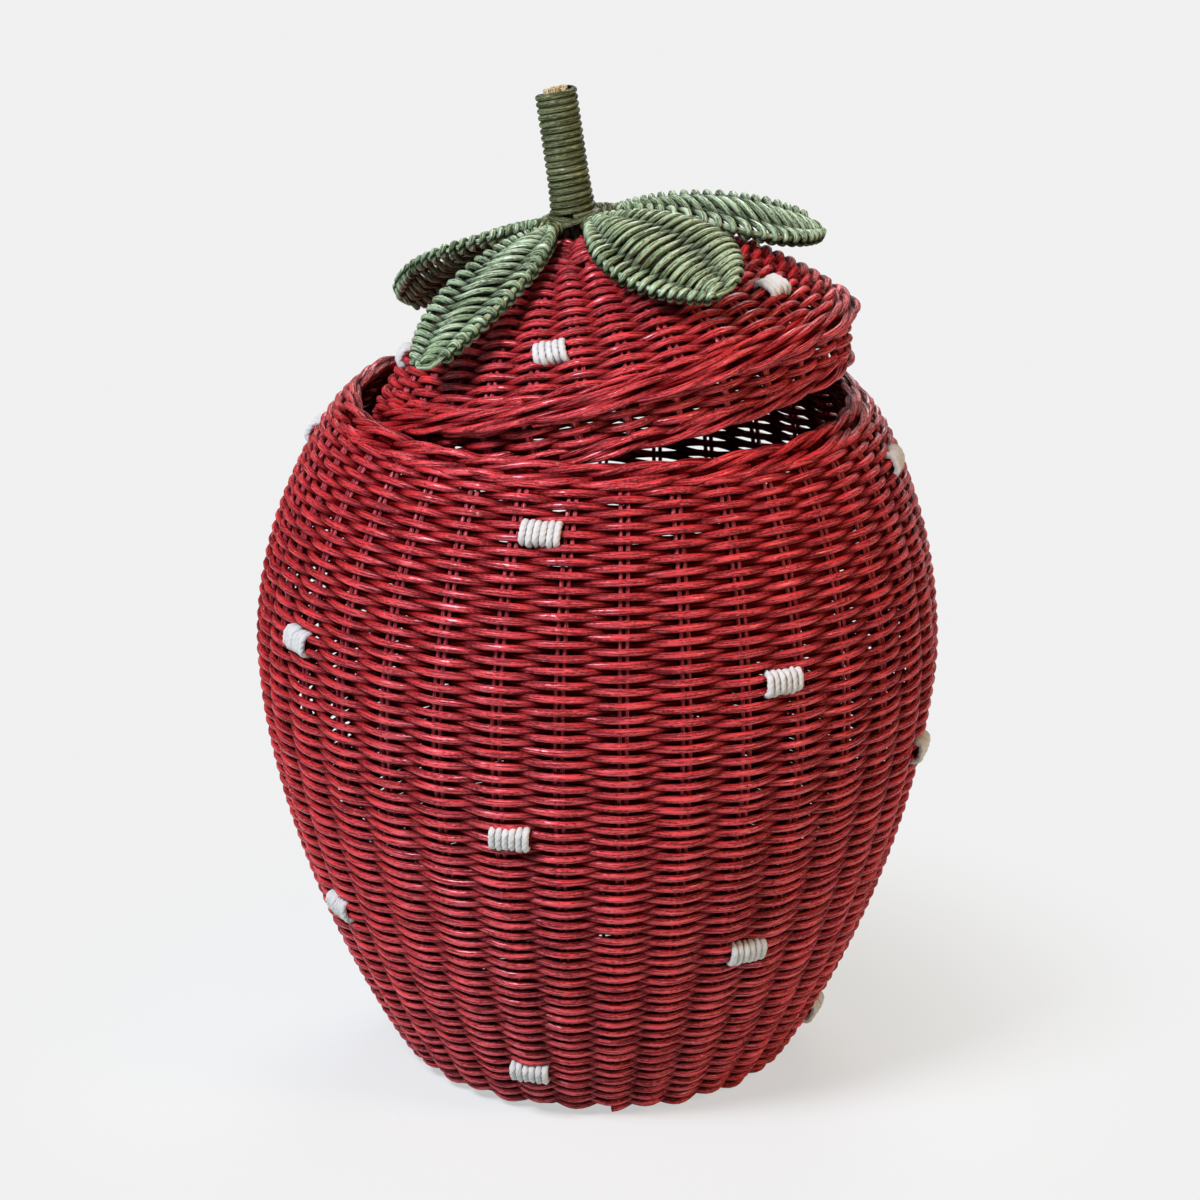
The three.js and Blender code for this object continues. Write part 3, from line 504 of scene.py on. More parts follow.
def stakes(profile, start, end, columns, first, gap, count):
    """Straight standing canes in pairs, gap apart, from one arc length to another."""
    arc = np.linspace(start, end, count)
    radius = np.interp(arc, profile["arc"], profile["radius"])
    column = first + TAU * np.arange(columns) / columns
    side = gap / 2 / radius * np.array([-1, 1])[:, None]
    angle = (column[:, None, None] + side).reshape(-1, count)
    arc = np.broadcast_to(arc, angle.shape)
    return on_profile(profile, arc, angle, 0.0)


def lean(spots, shift_at):
    """Move points to the right by an amount that depends on their height."""
    moved = spots.copy()
    moved[..., 0] += shift_at(spots[..., 2])
    return moved


def mouth_shift(height):
    """The wall leans to the right above its belly, as the square of the height."""
    share = np.clip((height - BELLY_HEIGHT) / (LEAN_TOP - BELLY_HEIGHT), 0, 1)
    return MOUTH_SHIFT * share**2


def in_body(points, directions=False):
    """The body's place for points, with the mouth's lean; directions stay as they are."""
    return points if directions else lean(points, mouth_shift)


def standing(name, path, place, body, node, thick=STAKE, sides=6):
    """Show a set of standing canes."""
    spots, outs = path
    mesh = sweep(name, place(spots), place(outs, True), thick / 2, sides, STAKE_RECESS)
    show(mesh, stake_red, body, node)


# %% The rows of the wall
CANE_OVAL = 0.13  # a weaver is taller than it is deep, by this share
CANE_UNEVEN = 0.05  # share by which its height changes along it
UNEVEN_STEP = 0.61  # radians of that change from one point to the next
MIDDLE_RECESS = 0.62  # painted shade where the weaver passes between two stakes
INNER_RECESS = 0.50  # more painted shade on its inner side, where it passes behind them


def woven(name, path, place, body, node, parts=1, sides=8):
    """A weaver cut into parts so that no piece is too heavy; deep points get a recess near 1, painted
    shade.
    """
    spots, outs, offset = path
    cuts = np.linspace(0, len(spots) - 1, parts + 1).astype(int)
    turn = TAU * np.arange(sides) / sides
    thick = CANE / 2 * (1 + CANE_OVAL * np.sin(turn) ** 2)
    for number in range(parts):
        part = slice(cuts[number], cuts[number + 1] + 1)
        # painted shade: most where the cane is halfway through the weave and on its inner side
        share = (offset[part, None] + CANE / 2 * np.cos(turn)) / SKIN
        recess = MIDDLE_RECESS * (1 - np.abs(share)) + INNER_RECESS * np.clip(-share, 0, 1)
        swell = np.sin(UNEVEN_STEP * np.arange(len(share)))[:, None] * np.abs(np.sin(turn))
        mesh = sweep(f"{name}_{number + 1}", place(spots[part])[None], place(outs[part], True)[None],
                     (thick * (1 + CANE_UNEVEN * swell))[None], sides, recess[None])
        show(mesh, crimson, body, node)


rows = (np.interp(ROWS_TOP, wall["height"], wall["arc"]) - CANE / 2) / ROW_PITCH
path = weaver(wall, CANE / 2, rows, BODY_STAKES, FIRST_STAKE, WAVE, 6, ROW_PITCH)
woven("wall_rows", path, in_body, "basket", "body_weave", 3)
stakes_top = np.interp(STAKES_TOP, wall["height"], wall["arc"])
path = stakes(wall, 1.5, stakes_top, BODY_STAKES, FIRST_STAKE, PAIR_GAP, 70)
standing("wall_stakes", path, in_body, "basket", "body_stakes")
print("the wall has", round(rows), "rows")

# %% [markdown]
# ## The rolled border of the mouth
#
# At the top the stakes bend to the right, run on round the mouth for about ten columns, roll over
# the crest and end inside. A twisted ring could stand for this, but a path for each cane gives the
# true overlaps: the section angle falls steadily from the lower edge, over the outside and the
# crest, to the inner side, and on the way the cane dives under its neighbours again and again.

# %% The ring that a border follows
BORDER_LENGTH = 18  # of the oval section, along the wall
BORDER_THICKNESS = 10
BORDER_CANE = 3.8
BORDER_DIVE = 1.7  # half the depth between the top and the bottom of a dive
BORDER_PERIOD = 2.6  # columns from one dive to the next
BORDER_RECESS = 0.18  # painted shade gained for each millimetre below the outside
BORDER_INSIDE = 4  # from the ring's outside to the core inside its canes
MOUTH_RUN = (98, 205, -80)  # degrees round the ring, and the section angle at start and end
# painted shade of the border's core, near black, and the most that a border cane gets
CORE_RECESS = 0.7
CORE_GRAIN = 120  # the ring's radius, near enough, so that the grain is in millimetres


def slope_direction(slope):
    """The unit direction of a line that moves out by slope for each step up."""
    return np.array([slope, 1.0]) / np.hypot(slope, 1.0)


def ring_reach(ring):
    """How far an oval ring's section reaches outwards and upwards from its middle."""
    axis = ring["axis"]
    out = np.hypot(ring["length"] / 2 * axis[0], ring["thickness"] / 2 * axis[1])
    return out, np.hypot(ring["length"] / 2 * axis[1], ring["thickness"] / 2 * axis[0])


def on_ring(ring, angle, section, grow):
    """Points of an oval ring, and outward there.

    Section 0 is the oval's top end and a quarter turn is its outside. grow widens the oval.
    """
    half_length = ring["length"] / 2 + grow
    half_thickness = ring["thickness"] / 2 + grow
    axis = ring["axis"]
    along = half_length * np.cos(section)
    across = half_thickness * np.sin(section)
    steep = np.cos(section) / half_length
    wide = np.sin(section) / half_thickness
    radius = ring["radius"] + along * axis[0] + across * axis[1]
    height = ring["height"] + along * axis[1] - across * axis[0]
    outs = around(steep * axis[0] + wide * axis[1], angle, steep * axis[1] - wide * axis[0])
    return around(radius, angle, height), outs


# %% Border canes


def border(name, ring, columns, first, span, start, end, cane, place, body, node, count=72, sides=10):
    """A cane for each column, running span degrees round the ring.

    The section angle goes evenly from start to end, in degrees. On the way a cane dives under its
    neighbours by dive * (1 - cos(travel)), so that what shows of it is a row of long strokes. Small
    sines make each cane a little different from the next.
    """
    number = np.arange(columns)[:, None]
    step = TAU / columns
    share = np.linspace(0, 1, count)
    run = np.radians(span) * share
    travel = TAU * run / step / BORDER_PERIOD + 0.6 * np.sin(2.7 * number)
    section = np.radians(start + (end - start) * share) + 0.06 * np.sin(7 * number + 9 * share)
    under = -BORDER_DIVE * (1 - np.cos(travel)) - cane / 2 + 0.25 * np.sin(3.1 * number + 5 * share)
    spots, outs = on_ring(ring, first + step * number + run, section, under)
    # painted shade: the deeper a point lies below the outside, the darker
    below = -under[..., None] - cane / 2 * np.cos(TAU * np.arange(sides) / sides)
    recess = np.clip(BORDER_RECESS * below, 0, CORE_RECESS)
    mesh = sweep(name, place(spots), place(outs, True), cane / 2, sides, recess)
    show(mesh, crimson, body, node)


def border_core(name, ring, inside, place, body, node, count=96, sides=14):
    """The closed oval tube inside a border's canes, which keeps the light from showing through; it is
    painted near black as shade.
    """
    angle = np.broadcast_to((TAU * np.arange(count) / count)[:, None], (count, sides))
    section = np.broadcast_to(TAU * np.arange(sides) / sides, (count, sides))
    spots = place(on_ring(ring, angle, section, -inside)[0])
    index = np.arange(count * sides).reshape(count, sides)
    beside = np.roll(index, -1, axis=1)
    quads = np.stack([index, np.roll(index, -1, axis=0), np.roll(beside, -1, axis=0), beside], axis=-1)
    grain = np.stack([np.cos(section), np.sin(section), CORE_GRAIN * angle], axis=-1)
    attributes = {"grain": grain.reshape(-1, 3), "recess": np.full(count * sides, CORE_RECESS)}
    no_caps = np.zeros((0, 4), int)
    mesh = fill_mesh(name, spots.reshape(-1, 3), quads.reshape(-1, 4), no_caps, attributes)
    show(mesh, crimson, body, node)


# %% The mouth's border


def wall_slope(height):
    """How far the wall moves out for each millimetre up."""
    return float((wall_radius(height + 1.0) - wall_radius(height - 1.0)) / 2)


mouth = {
    "length": BORDER_LENGTH, "thickness": BORDER_THICKNESS,
    "axis": slope_direction(wall_slope(BODY_HEIGHT - BORDER_LENGTH / 4)),
}
mouth["height"] = BODY_HEIGHT - ring_reach(mouth)[1]
face_height = mouth["height"] - mouth["thickness"] / 2 * mouth["axis"][0]
mouth["radius"] = float(wall_radius(face_height)) - mouth["thickness"] / 2 * mouth["axis"][1]


def shifted(spots, directions=False):
    """The mouth's border sits to the right by the whole lean."""
    return spots if directions else spots + [MOUTH_SHIFT, 0, 0]


border("mouth_border_canes", mouth, BODY_STAKES, FIRST_STAKE, *MOUTH_RUN, BORDER_CANE,
       shifted, "basket", "body_border")
border_core("mouth_border_core", mouth, BORDER_INSIDE, shifted, "basket", "body_border")
print("the mouth's ring has radius", round(mouth["radius"], 1), "at", round(mouth["height"], 1))

# %% [markdown]
# ## The base
#
# The photograph doesn't show the underside, so it is woven like the wall: fewer spokes near the
# middle, then all the stakes, and a small coil that closes the centre on each side.

# %% Base weave
FLOOR_MIDDLE = SKIN + 0.1
INNER_SPOKES = 17
SPLIT_RADIUS = 36  # where the stakes take over from the spokes
SPOKE_RADIUS = 11  # where the spokes start
COIL_RADIUS = 13
FLOOR_ROWS_END = BASE_RADIUS - 7
FLOOR_STAKES_END = BASE_RADIUS - 5
FLOOR_GAP = 0.2  # between the coils and the underside or the inside


def flat_profile(start, end):
    """A level line at the base's middle, with its outside facing down."""
    radius = np.linspace(start, end, 200)
    return profile_of(radius, np.full(200, FLOOR_MIDDLE), 1)


def coil(radius, pitch, per_turn=20):
    """A flat spiral from the middle out to radius, a cane a turn."""
    turn = np.linspace(0, radius / pitch, int(radius / pitch * per_turn))
    spots = around(pitch * turn + 0.4, TAU * turn, 0.0)
    return spots, np.broadcast_to([0, 0, 1.0], spots.shape)


outer_floor = flat_profile(SPLIT_RADIUS, BASE_RADIUS)
inner_floor = flat_profile(SPOKE_RADIUS, SPLIT_RADIUS)
rows = (FLOOR_ROWS_END - SPLIT_RADIUS) / ROW_PITCH
path = weaver(outer_floor, 2, rows, BODY_STAKES, FIRST_STAKE, WAVE, 6, ROW_PITCH)
woven("base_rows", path, in_body, "basket", "base_weave", 1, 6)
rows = (SPLIT_RADIUS - COIL_RADIUS) / ROW_PITCH
path = weaver(inner_floor, 2, rows, INNER_SPOKES, 0, WAVE, 8, ROW_PITCH)
woven("base_inner_rows", path, in_body, "basket", "base_weave", 1, 6)
path = stakes(outer_floor, 0, FLOOR_STAKES_END - SPLIT_RADIUS, BODY_STAKES, FIRST_STAKE, PAIR_GAP, 12)
standing("base_stakes", path, in_body, "basket", "body_stakes")
path = stakes(inner_floor, -4, SPLIT_RADIUS - 9, INNER_SPOKES, 0, STAKE, 8)
standing("base_spokes", path, in_body, "basket", "body_stakes")
spots, outs = coil(COIL_RADIUS, CANE)
low = CANE / 2 + FLOOR_GAP
layers = np.stack([spots + [0, 0, low], spots + [0, 0, 2 * FLOOR_MIDDLE - low]])
mesh = sweep("base_coils", layers, np.stack([outs, outs]), CANE / 2, 6)
show(mesh, crimson, "basket", "base_weave")

# %% [markdown]
# ## The lid
#
# The lid is made level, about its own axis, and then turned as it lies in the photograph: its
# right side has ridden up on the mouth's border and its left side has dropped in. Where its
# collar's ring lies in the frame gives the place.

# %% The lid's place
LID_RIGHT_RISE = np.radians(13)
LID_FRONT_RISE = np.radians(5.9)
COLLAR_DEPTH = 29.8  # from the level of the lid's widest edge down to the collar's foot
COLLAR_RING_LENGTH = 10.8


def turn_about(axis, angle):
    """The matrix that turns points about the X, Y or Z axis."""
    sine, cosine = np.sin(angle), np.cos(angle)
    one, two = [(1, 2), (2, 0), (0, 1)][axis]
    matrix = np.eye(3)
    matrix[one, one] = matrix[two, two] = cosine
    matrix[one, two] = -sine
    matrix[two, one] = sine
    return matrix


def node_middle(node):
    """The mean of a node's points, in millimetres."""
    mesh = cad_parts[node].data
    points = np.empty(3 * len(mesh.vertices), np.float32)
    mesh.vertices.foreach_get("co", points)
    return points.reshape(-1, 3).mean(axis=0) / MM


LID_TURN = turn_about(1, -LID_RIGHT_RISE) @ turn_about(0, -LID_FRONT_RISE)
collar_ring_height = COLLAR_RING_LENGTH / 2 - COLLAR_DEPTH
LID_MIDDLE = node_middle("collar_border") - LID_TURN @ [0, 0, collar_ring_height]


def on_lid(points, directions=False):
    """From the level lid to its place: turned, and moved unless these are directions."""
    turned = points @ LID_TURN.T
    return turned if directions else turned + LID_MIDDLE


print("the lid's middle lies at", np.round(LID_MIDDLE, 1).tolist())

# %% The dome's line
LID_EDGE = 121.3  # radius of the lid's widest edge
DOME_RADIUS = LID_EDGE - 5.7
DOME_EDGE_HEIGHT = 6
DOME_TOP_HEIGHT = 61.5
CROWN_RADIUS = 14
CROWN_SHIFT = 4.4
LEAN_START = 13  # from the lid's border up to where the dome starts to lean


def dome_height(radius):
    """A parabola from the flat crown down to the edge."""
    share = np.clip((radius - CROWN_RADIUS) / (DOME_RADIUS - CROWN_RADIUS), 0, None)
    return DOME_EDGE_HEIGHT + (DOME_TOP_HEIGHT - DOME_EDGE_HEIGHT) * (1 - share**2)


edge_slope = -2 * (DOME_TOP_HEIGHT - DOME_EDGE_HEIGHT) / (DOME_RADIUS - CROWN_RADIUS)
lid_ring = {
    "length": BORDER_LENGTH, "thickness": BORDER_THICKNESS, "axis": slope_direction(1 / edge_slope),
}
lid_ring["radius"] = LID_EDGE - ring_reach(lid_ring)[0]
face_radius = lid_ring["radius"] + lid_ring["thickness"] / 2 * lid_ring["axis"][1]
lid_ring["height"] = float(dome_height(face_radius)) + lid_ring["thickness"] / 2 * lid_ring["axis"][0]
crown_base = lid_ring["height"] + LEAN_START
dome_radii = np.linspace(5, DOME_RADIUS + 1, 600)
dome_skin = profile_of(dome_radii, dome_height(dome_radii), -1)
dome = inset(dome_skin, SKIN, -1)


def crown_shift(height):
    """The crown sits to the left of the lid's middle, and the dome leans to it evenly."""
    share = np.clip((height - crown_base) / (DOME_TOP_HEIGHT - crown_base), 0, 1)
    return -CROWN_SHIFT * share


def in_lid(points, directions=False):
    """The dome's place for points: leaned to the crown and set on the lid."""
    return on_lid(points, directions) if directions else on_lid(lean(points, crown_shift))


def arc_at(radius):
    """Arc length of the dome's middle surface at a radius of its outside."""
    return float(np.interp(radius, dome_skin["radius"], dome["arc"]))


print("the lid's ring has radius", round(lid_ring["radius"], 1))

# %% The dome's weave
LID_STICKS = 29
FIRST_LID_STICK = np.radians(6.2)
INNER_STICKS = 15
LID_SPLIT = 48  # radius at which the lid's sticks double
FIRST_ROW_RADIUS = 13
inner_rows = (arc_at(LID_SPLIT) - arc_at(FIRST_ROW_RADIUS)) / ROW_PITCH
outer_rows = (arc_at(DOME_RADIUS - 1) - arc_at(LID_SPLIT)) / ROW_PITCH
start = arc_at(FIRST_ROW_RADIUS)
path = weaver(dome, start, inner_rows, INNER_STICKS, FIRST_LID_STICK, WAVE, 10, ROW_PITCH)
woven("lid_inner_rows", path, in_lid, "lid", "lid_weave")
start = arc_at(LID_SPLIT) + 1
path = weaver(dome, start, outer_rows, LID_STICKS, FIRST_LID_STICK, WAVE, 8, ROW_PITCH)
woven("lid_rows", path, in_lid, "lid", "lid_weave")
ends = arc_at(9), arc_at(LID_SPLIT + 6)
path = stakes(dome, *ends, INNER_STICKS, FIRST_LID_STICK, STAKE, 16)
standing("lid_inner_sticks", path, in_lid, "lid", "lid_sticks")
ends = arc_at(LID_SPLIT - 4), arc_at(DOME_RADIUS - 3)
path = stakes(dome, *ends, LID_STICKS, FIRST_LID_STICK, PAIR_GAP, 30)
standing("lid_sticks_outer", path, in_lid, "lid", "lid_sticks")
print("the dome has", round(inner_rows + outer_rows), "rows")

# %% The lid's border
LID_BORDER_CANE = 3.2
LID_RUN = (138, 220, -70)
border("lid_border_canes", lid_ring, LID_STICKS, FIRST_LID_STICK, *LID_RUN, LID_BORDER_CANE,
       on_lid, "lid", "lid_border")
border_core("lid_border_core", lid_ring, BORDER_INSIDE, on_lid, "lid", "lid_border")

# %% [markdown]
# ## The collar
#
# Under the border a short woven wall drops into the mouth. It has single sticks instead of pairs,
# about seven rows, and its own small rolled border at the foot.

# %% Collar
COLLAR_OUTSIDE = 113.9  # radius of the collar's border
COLLAR_FLARE = 1.5  # top of the collar beyond its border
COLLAR_TAPER = 1.2  # foot of the collar inside its border
COLLAR_STICK = 4
COLLAR_WAVE = (CANE + COLLAR_STICK) / 2 - 0.5
COLLAR_CANE = 3.1
COLLAR_RUN = (100, 245, -75)
COLLAR_INSIDE = 3.4
COLLAR_RING_THICKNESS = 8.6
COLLAR_PITCH = 2.9
FIRST_COLLAR_STICK = np.radians(2.9)
collar_ring = {
    "length": COLLAR_RING_LENGTH, "thickness": COLLAR_RING_THICKNESS, "axis": np.array([0.0, 1.0]),
    "radius": COLLAR_OUTSIDE - COLLAR_RING_THICKNESS / 2, "height": collar_ring_height,
}
collar_heights = np.linspace(collar_ring_height + 2, lid_ring["height"], 60)
collar_share = (lid_ring["height"] - collar_heights) / (lid_ring["height"] - collar_ring_height)
collar_radii = COLLAR_OUTSIDE + COLLAR_FLARE - (COLLAR_FLARE + COLLAR_TAPER) * collar_share
collar = inset(profile_of(collar_radii, collar_heights, 1), COLLAR_WAVE + CANE / 2 - 1, 1)
collar_rows = (collar["arc"][-1] - 2.5) / COLLAR_PITCH
path = weaver(collar, 1.0, collar_rows, LID_STICKS, FIRST_COLLAR_STICK, COLLAR_WAVE, 8, COLLAR_PITCH)
woven("collar_rows", path, on_lid, "lid", "collar_weave")
spots, outs = stakes(collar, -1, collar["arc"][-1], LID_STICKS, FIRST_COLLAR_STICK, 0.1, 12)
singles = spots[::2], outs[::2]  # one cane of each pair
standing("collar_sticks", singles, on_lid, "lid", "lid_sticks", COLLAR_STICK, 8)
border("collar_border_canes", collar_ring, LID_STICKS, FIRST_COLLAR_STICK, *COLLAR_RUN, COLLAR_CANE,
       on_lid, "lid", "collar_border")
border_core("collar_border_core", collar_ring, COLLAR_INSIDE, on_lid, "lid", "collar_border")
print("the collar has", round(collar_rows), "rows")

# %% [markdown]
# ## The stem
#
# A bundle of canes is wound round with one green cane, turn on turn, a little wider at the foot.
# Below the winding two rings of cane, tilted opposite ways, cross in front. The bundle's cut ends
# show at the top, pale and dry.

# %% Stem
STEM_LEAN = np.radians(4.7)
STEM_LENGTH = 70
WRAP_RADIUS = 8.7
WRAP_CANE = 3.25
WRAP_START = 8.5
WRAP_END = STEM_LENGTH - 1.5
FOOT_SWELL = 1.7  # how much wider the winding is at its foot
FOOT_FADE = 7  # height over which most of that is lost
# most painted shade, on the side of a cane that lies against another
CREVICE_RECESS = 0.9
LASHING_RADIUS = 11.1
LASHING_OVAL = 1.5
LASHING_HEIGHT = 6.3
LASHING_DROP = 2.6
STEM_TURN = turn_about(1, STEM_LEAN)


def on_stem(points, directions=False):
    """From the upright stem to its place on the crown."""
    turned = points @ STEM_TURN.T
    return on_lid(turned, True) if directions else on_lid(turned + [-CROWN_SHIFT, 0, DOME_TOP_HEIGHT])


def helix(start, end, turns, radius_at, per_turn=26):
    """A cane that winds about +Z from one height to another; radius_at gives its radius at a height."""
    turn = np.linspace(0, turns, int(turns * per_turn) + 1)
    height = start + (end - start) * turn / turns
    angle = TAU * turn
    return around(radius_at(height), angle, height)[None], around(1.0, angle, 0.0)[None]


def stem_radius(height):
    """The winding is widest at the foot and narrows over the first turns."""
    return WRAP_RADIUS + FOOT_SWELL * np.exp(-np.clip(height - WRAP_START, 0, None) / FOOT_FADE)


def crevice(sides):
    """The painted shade round a cane laid on something: 0 on its outer side and most on its inner side.
    """
    return CREVICE_RECESS * (1 - np.cos(TAU * np.arange(sides) / sides)) / 2


def lashing(side, count=60):
    """A ring round the stem's foot that drops by a sine to one side, and is widest in front or behind."""
    angle = TAU * np.arange(count) / count
    radius = LASHING_RADIUS + side * LASHING_OVAL * np.cos(angle)
    height = LASHING_HEIGHT + side * LASHING_DROP * np.sin(angle)
    return around(radius, angle, height), around(1.0, angle, 0.0)


wraps = (WRAP_END - WRAP_START) / WRAP_CANE
spots, outs = helix(WRAP_START, WRAP_END, wraps, stem_radius)
mesh = sweep("stem_winding", on_stem(spots), on_stem(outs, True), WRAP_CANE / 2, 10, crevice(10))
show(mesh, stem_green, "lid", "stem_wrap")
spots, outs = (np.stack(both) for both in zip(lashing(-1), lashing(1)))
spots, outs = on_stem(spots), on_stem(outs, True)
mesh = sweep("stem_lashing_canes", spots, outs, WRAP_CANE / 2, 10, crevice(10), closed=True)
show(mesh, stem_green, "lid", "stem_lashing")
print("the stem has", round(wraps), "turns")

# %% Bundle with cut ends
pale_end = cane_material("cut_cane_ends", (0.42, 0.37, 0.17), (0.60, 0.54, 0.30),
                         (0.12, 0.10, 0.04), (0.72, 0.66, 0.44), (1.0, 1.0, 1.0), 0.3)
BUNDLE_CANE = 4.5
BUNDLE_PITCH = 4.2  # from the middle cane to the six round it
bundle_angle = TAU * np.arange(6) / 6
ring = BUNDLE_PITCH * np.stack([np.sin(bundle_angle), np.cos(bundle_angle)], axis=-1)
bundle = np.concatenate([[[0, 0]], ring])
tops = STEM_LENGTH + np.array([0.5, -0.2, 0.3, -0.5, 0.4, 0.0, -0.3])


def bundle_canes(low, high, thick, count=12):
    """Seven upright canes from low up to each cane's own height high, with their radius and sides."""
    level = low + np.linspace(0, 1, count) * (high - low)[:, None]
    paths = np.concatenate([np.repeat(bundle[:, None], count, axis=1), level[..., None]], axis=-1)
    sideways = np.broadcast_to([1.0, 0, 0], paths.shape)
    return on_stem(paths), on_stem(sideways, True), thick / 2, 10


mesh = sweep("stem_bundle", *bundle_canes(-6, tops - 3, BUNDLE_CANE + 0.1))
show(mesh, stem_green, "lid", "stem_core")
mesh = sweep("stem_cut_ends", *bundle_canes(tops[0] - 4, tops, BUNDLE_CANE))
show(mesh, pale_end, "lid", "stem_core")

# %% [markdown]
# ## The leaves
#
# Each leaf is a bent hoop of cane with a rib between its sides. One cane is woven back and forth
# over the three, and that path is a plain formula: the sideways place is a cosine, and the height
# is a sine three times as fast, so the cane goes over a side, under the rib and over the other
# side, and returns the other way about. The slant of its strokes was measured leaf by leaf.

# %% Leaf surface
LEAF_ROOT_HEIGHT = 4.4  # of the middle line above the crown
LEAF_ROOT = 11.6  # from the stem's middle
LEAF_ARCH = 3
LEAF_DROOP = 1.9  # exponent of the drop along a leaf
LEAF_CAMBER = 4.5  # edges below the middle line
LEAF_BARE = 0.08  # share of the length that stays narrow
LEAF_ROUND = 0.6  # exponent of the outline
LEAF_REACH = 115
LEAF_DROP = 36
LEAF_WIDTH = 52
# Angle from the front and roll of the tip in degrees; reach, drop and width as shares of those
# above; skew moves the widest place to the tip; vein bends the strokes and slant tilts them;
# uneven moves the rib and its crossings off the middle; pitch is from one stroke to the next.
LEAF_NUMBERS = ("angle", "reach", "drop", "width", "roll", "skew", "vein", "slant", "uneven", "pitch")
LEAVES = {
    "leaf_front_left": (-39, 1.08, 1.08, 0.94, 0, 1, -0.45, -0.05, -0.25, 2.55),
    "leaf_front_right": (34, 1.02, 0.97, 1.15, 6, 1.25, -0.08, -0.22, 0.25, 2.35),
    "leaf_right": (97, 1.01, 0.89, 1.04, 20, 1.35, 0.1, -0.25, 0.1, 2.45),
    "leaf_back": (182, 0.97, 1, 1, 0, 1.2, -0.3, 0, 0, 2.45),
    "leaf_left": (-121, 0.98, 0.77, 0.96, 34, 1.1, -0.3, -0.1, 0, 2.3),
}
LEAVES = {name: dict(zip(LEAF_NUMBERS, numbers)) for name, numbers in LEAVES.items()}


def leaf_half_width(leaf, share):
    """A sine of a skewed share, rounded by a power, from a narrow neck to the tip."""
    past = np.clip((share - LEAF_BARE) / (1 - LEAF_BARE), 0, 1)
    return leaf["width"] * LEAF_WIDTH / 2 * np.sin(np.pi * past ** leaf["skew"]).clip(0) ** LEAF_ROUND


def leaf_run(leaf):
    """Length of a leaf seen from above, from root to tip."""
    return leaf["reach"] * LEAF_REACH - LEAF_ROOT


def on_leaf(leaf, share, side, lift):
    """A point of a leaf's curved surface, and the surface's direction there, on the lid.

    The middle line rises by an arch and falls by a power of the share, and the sides bend down by a
    square. The blade is level across at the root and rolled at the tip.
    """
    run = leaf_run(leaf)
    fall = leaf["drop"] * LEAF_DROP
    half = leaf["width"] * LEAF_WIDTH / 2
    roll = np.radians(leaf["roll"]) * share
    sine, cosine = np.sin(roll), np.cos(roll)
    rise = LEAF_ROOT_HEIGHT + LEAF_ARCH * 4 * share * (1 - share) - fall * np.abs(share) ** LEAF_DROOP
    slope = LEAF_ARCH * 4 * (1 - 2 * share) - fall * LEAF_DROOP * np.abs(share) ** (LEAF_DROOP - 1)
    length = np.hypot(run, slope)
    upright = lift * run / length
    across = side * cosine - upright * sine
    along = LEAF_ROOT + run * share - lift * slope / length
    level = rise - LEAF_CAMBER * (side / half) ** 2 + side * sine + upright * cosine
    spots = np.stack([across, -along, level], axis=-1)
    outs = np.stack([0.25 * side / half - sine, slope / length, cosine * run / length], axis=-1)
    turn = turn_about(2, np.radians(leaf["angle"]))
    return on_lid(spots @ turn.T + [-CROWN_SHIFT, 0, DOME_TOP_HEIGHT]), on_lid(outs @ turn.T, True)


# %% Hoop and rib
HOOP_CANE = 2.9
RIB_CANE = 2.6


def leaf_hoop(leaf):
    """A cane round the outline, from root to tip and back."""
    turn = np.linspace(0, TAU, 90)
    share = 0.02 + 0.96 * (1 - np.cos(turn)) / 2
    side = np.sign(np.sin(turn)) * (leaf_half_width(leaf, share) - HOOP_CANE / 2)
    side = side * np.clip(np.abs(np.sin(turn)) * 9, 0, 1)
    spots, outs = on_leaf(leaf, share, side, 0.0)
    return spots[None], outs[None]


def leaf_rib(leaf):
    """One rib from root to tip, set off the middle to the side where the weaver's strokes are shorter."""
    share = np.linspace(0.03, 0.96, 40)
    side = -0.5 * leaf["uneven"] * leaf_half_width(leaf, share)
    spots, outs = on_leaf(leaf, share, side, 0.0)
    return spots[None], outs[None]


# %% Weaver and neck
LEAF_CANE = 3.3
LEAF_WAVE = 2.4
LEAF_WRAP = 1.0
NECK_TURNS = 4
NECK_CANE = 3
NECK_HALF_WIDTH = 3.0
NECK_HALF_THICKNESS = 2.7


def leaf_weaver(leaf):
    """Sideways place -cos(t) * (half width + wrap), one pass for each half turn of t.

    The height is wave * sin(3 t + 3 uneven sin(t)), so the cane goes over one side, under the rib and
    over the other side, and comes back the other way about. The passes are closest at the root and
    at the tip. vein and slant bend and tilt each pass.
    """
    run = leaf_run(leaf)
    passes = run / leaf["pitch"]
    turn = np.linspace(0, np.pi * passes, int(passes * 36))
    done = (turn + 0.4 * np.sin(2 * turn)) / np.pi / passes
    middle = 0.07 + 0.91 * (done - 0.35 * np.sin(TAU * done) / TAU) + 0.3 / run * np.sin(0.77 * turn)
    reach = leaf_half_width(leaf, middle) + LEAF_WRAP
    bend = leaf["vein"] * np.sqrt(np.cos(turn) ** 2 + 0.01) - leaf["slant"] * np.cos(turn)
    share = np.clip(middle + bend * reach / run, 0, 0.985)
    side = -np.cos(turn) * (leaf_half_width(leaf, share) + LEAF_WRAP)
    lift = LEAF_WAVE * np.sin(3 * (turn + leaf["uneven"] * np.sin(turn)))
    spots, outs = on_leaf(leaf, share, side, lift)
    return spots[None], outs[None], lift


def leaf_recess(lift, sides=8):
    """Painted shade: 0 on both faces of a leaf, and most halfway between them."""
    depth = lift[:, None] + LEAF_CANE / 2 * np.cos(TAU * np.arange(sides) / sides)
    return 0.85 * (1 - np.abs(depth) / (LEAF_WAVE + LEAF_CANE / 2))[None]


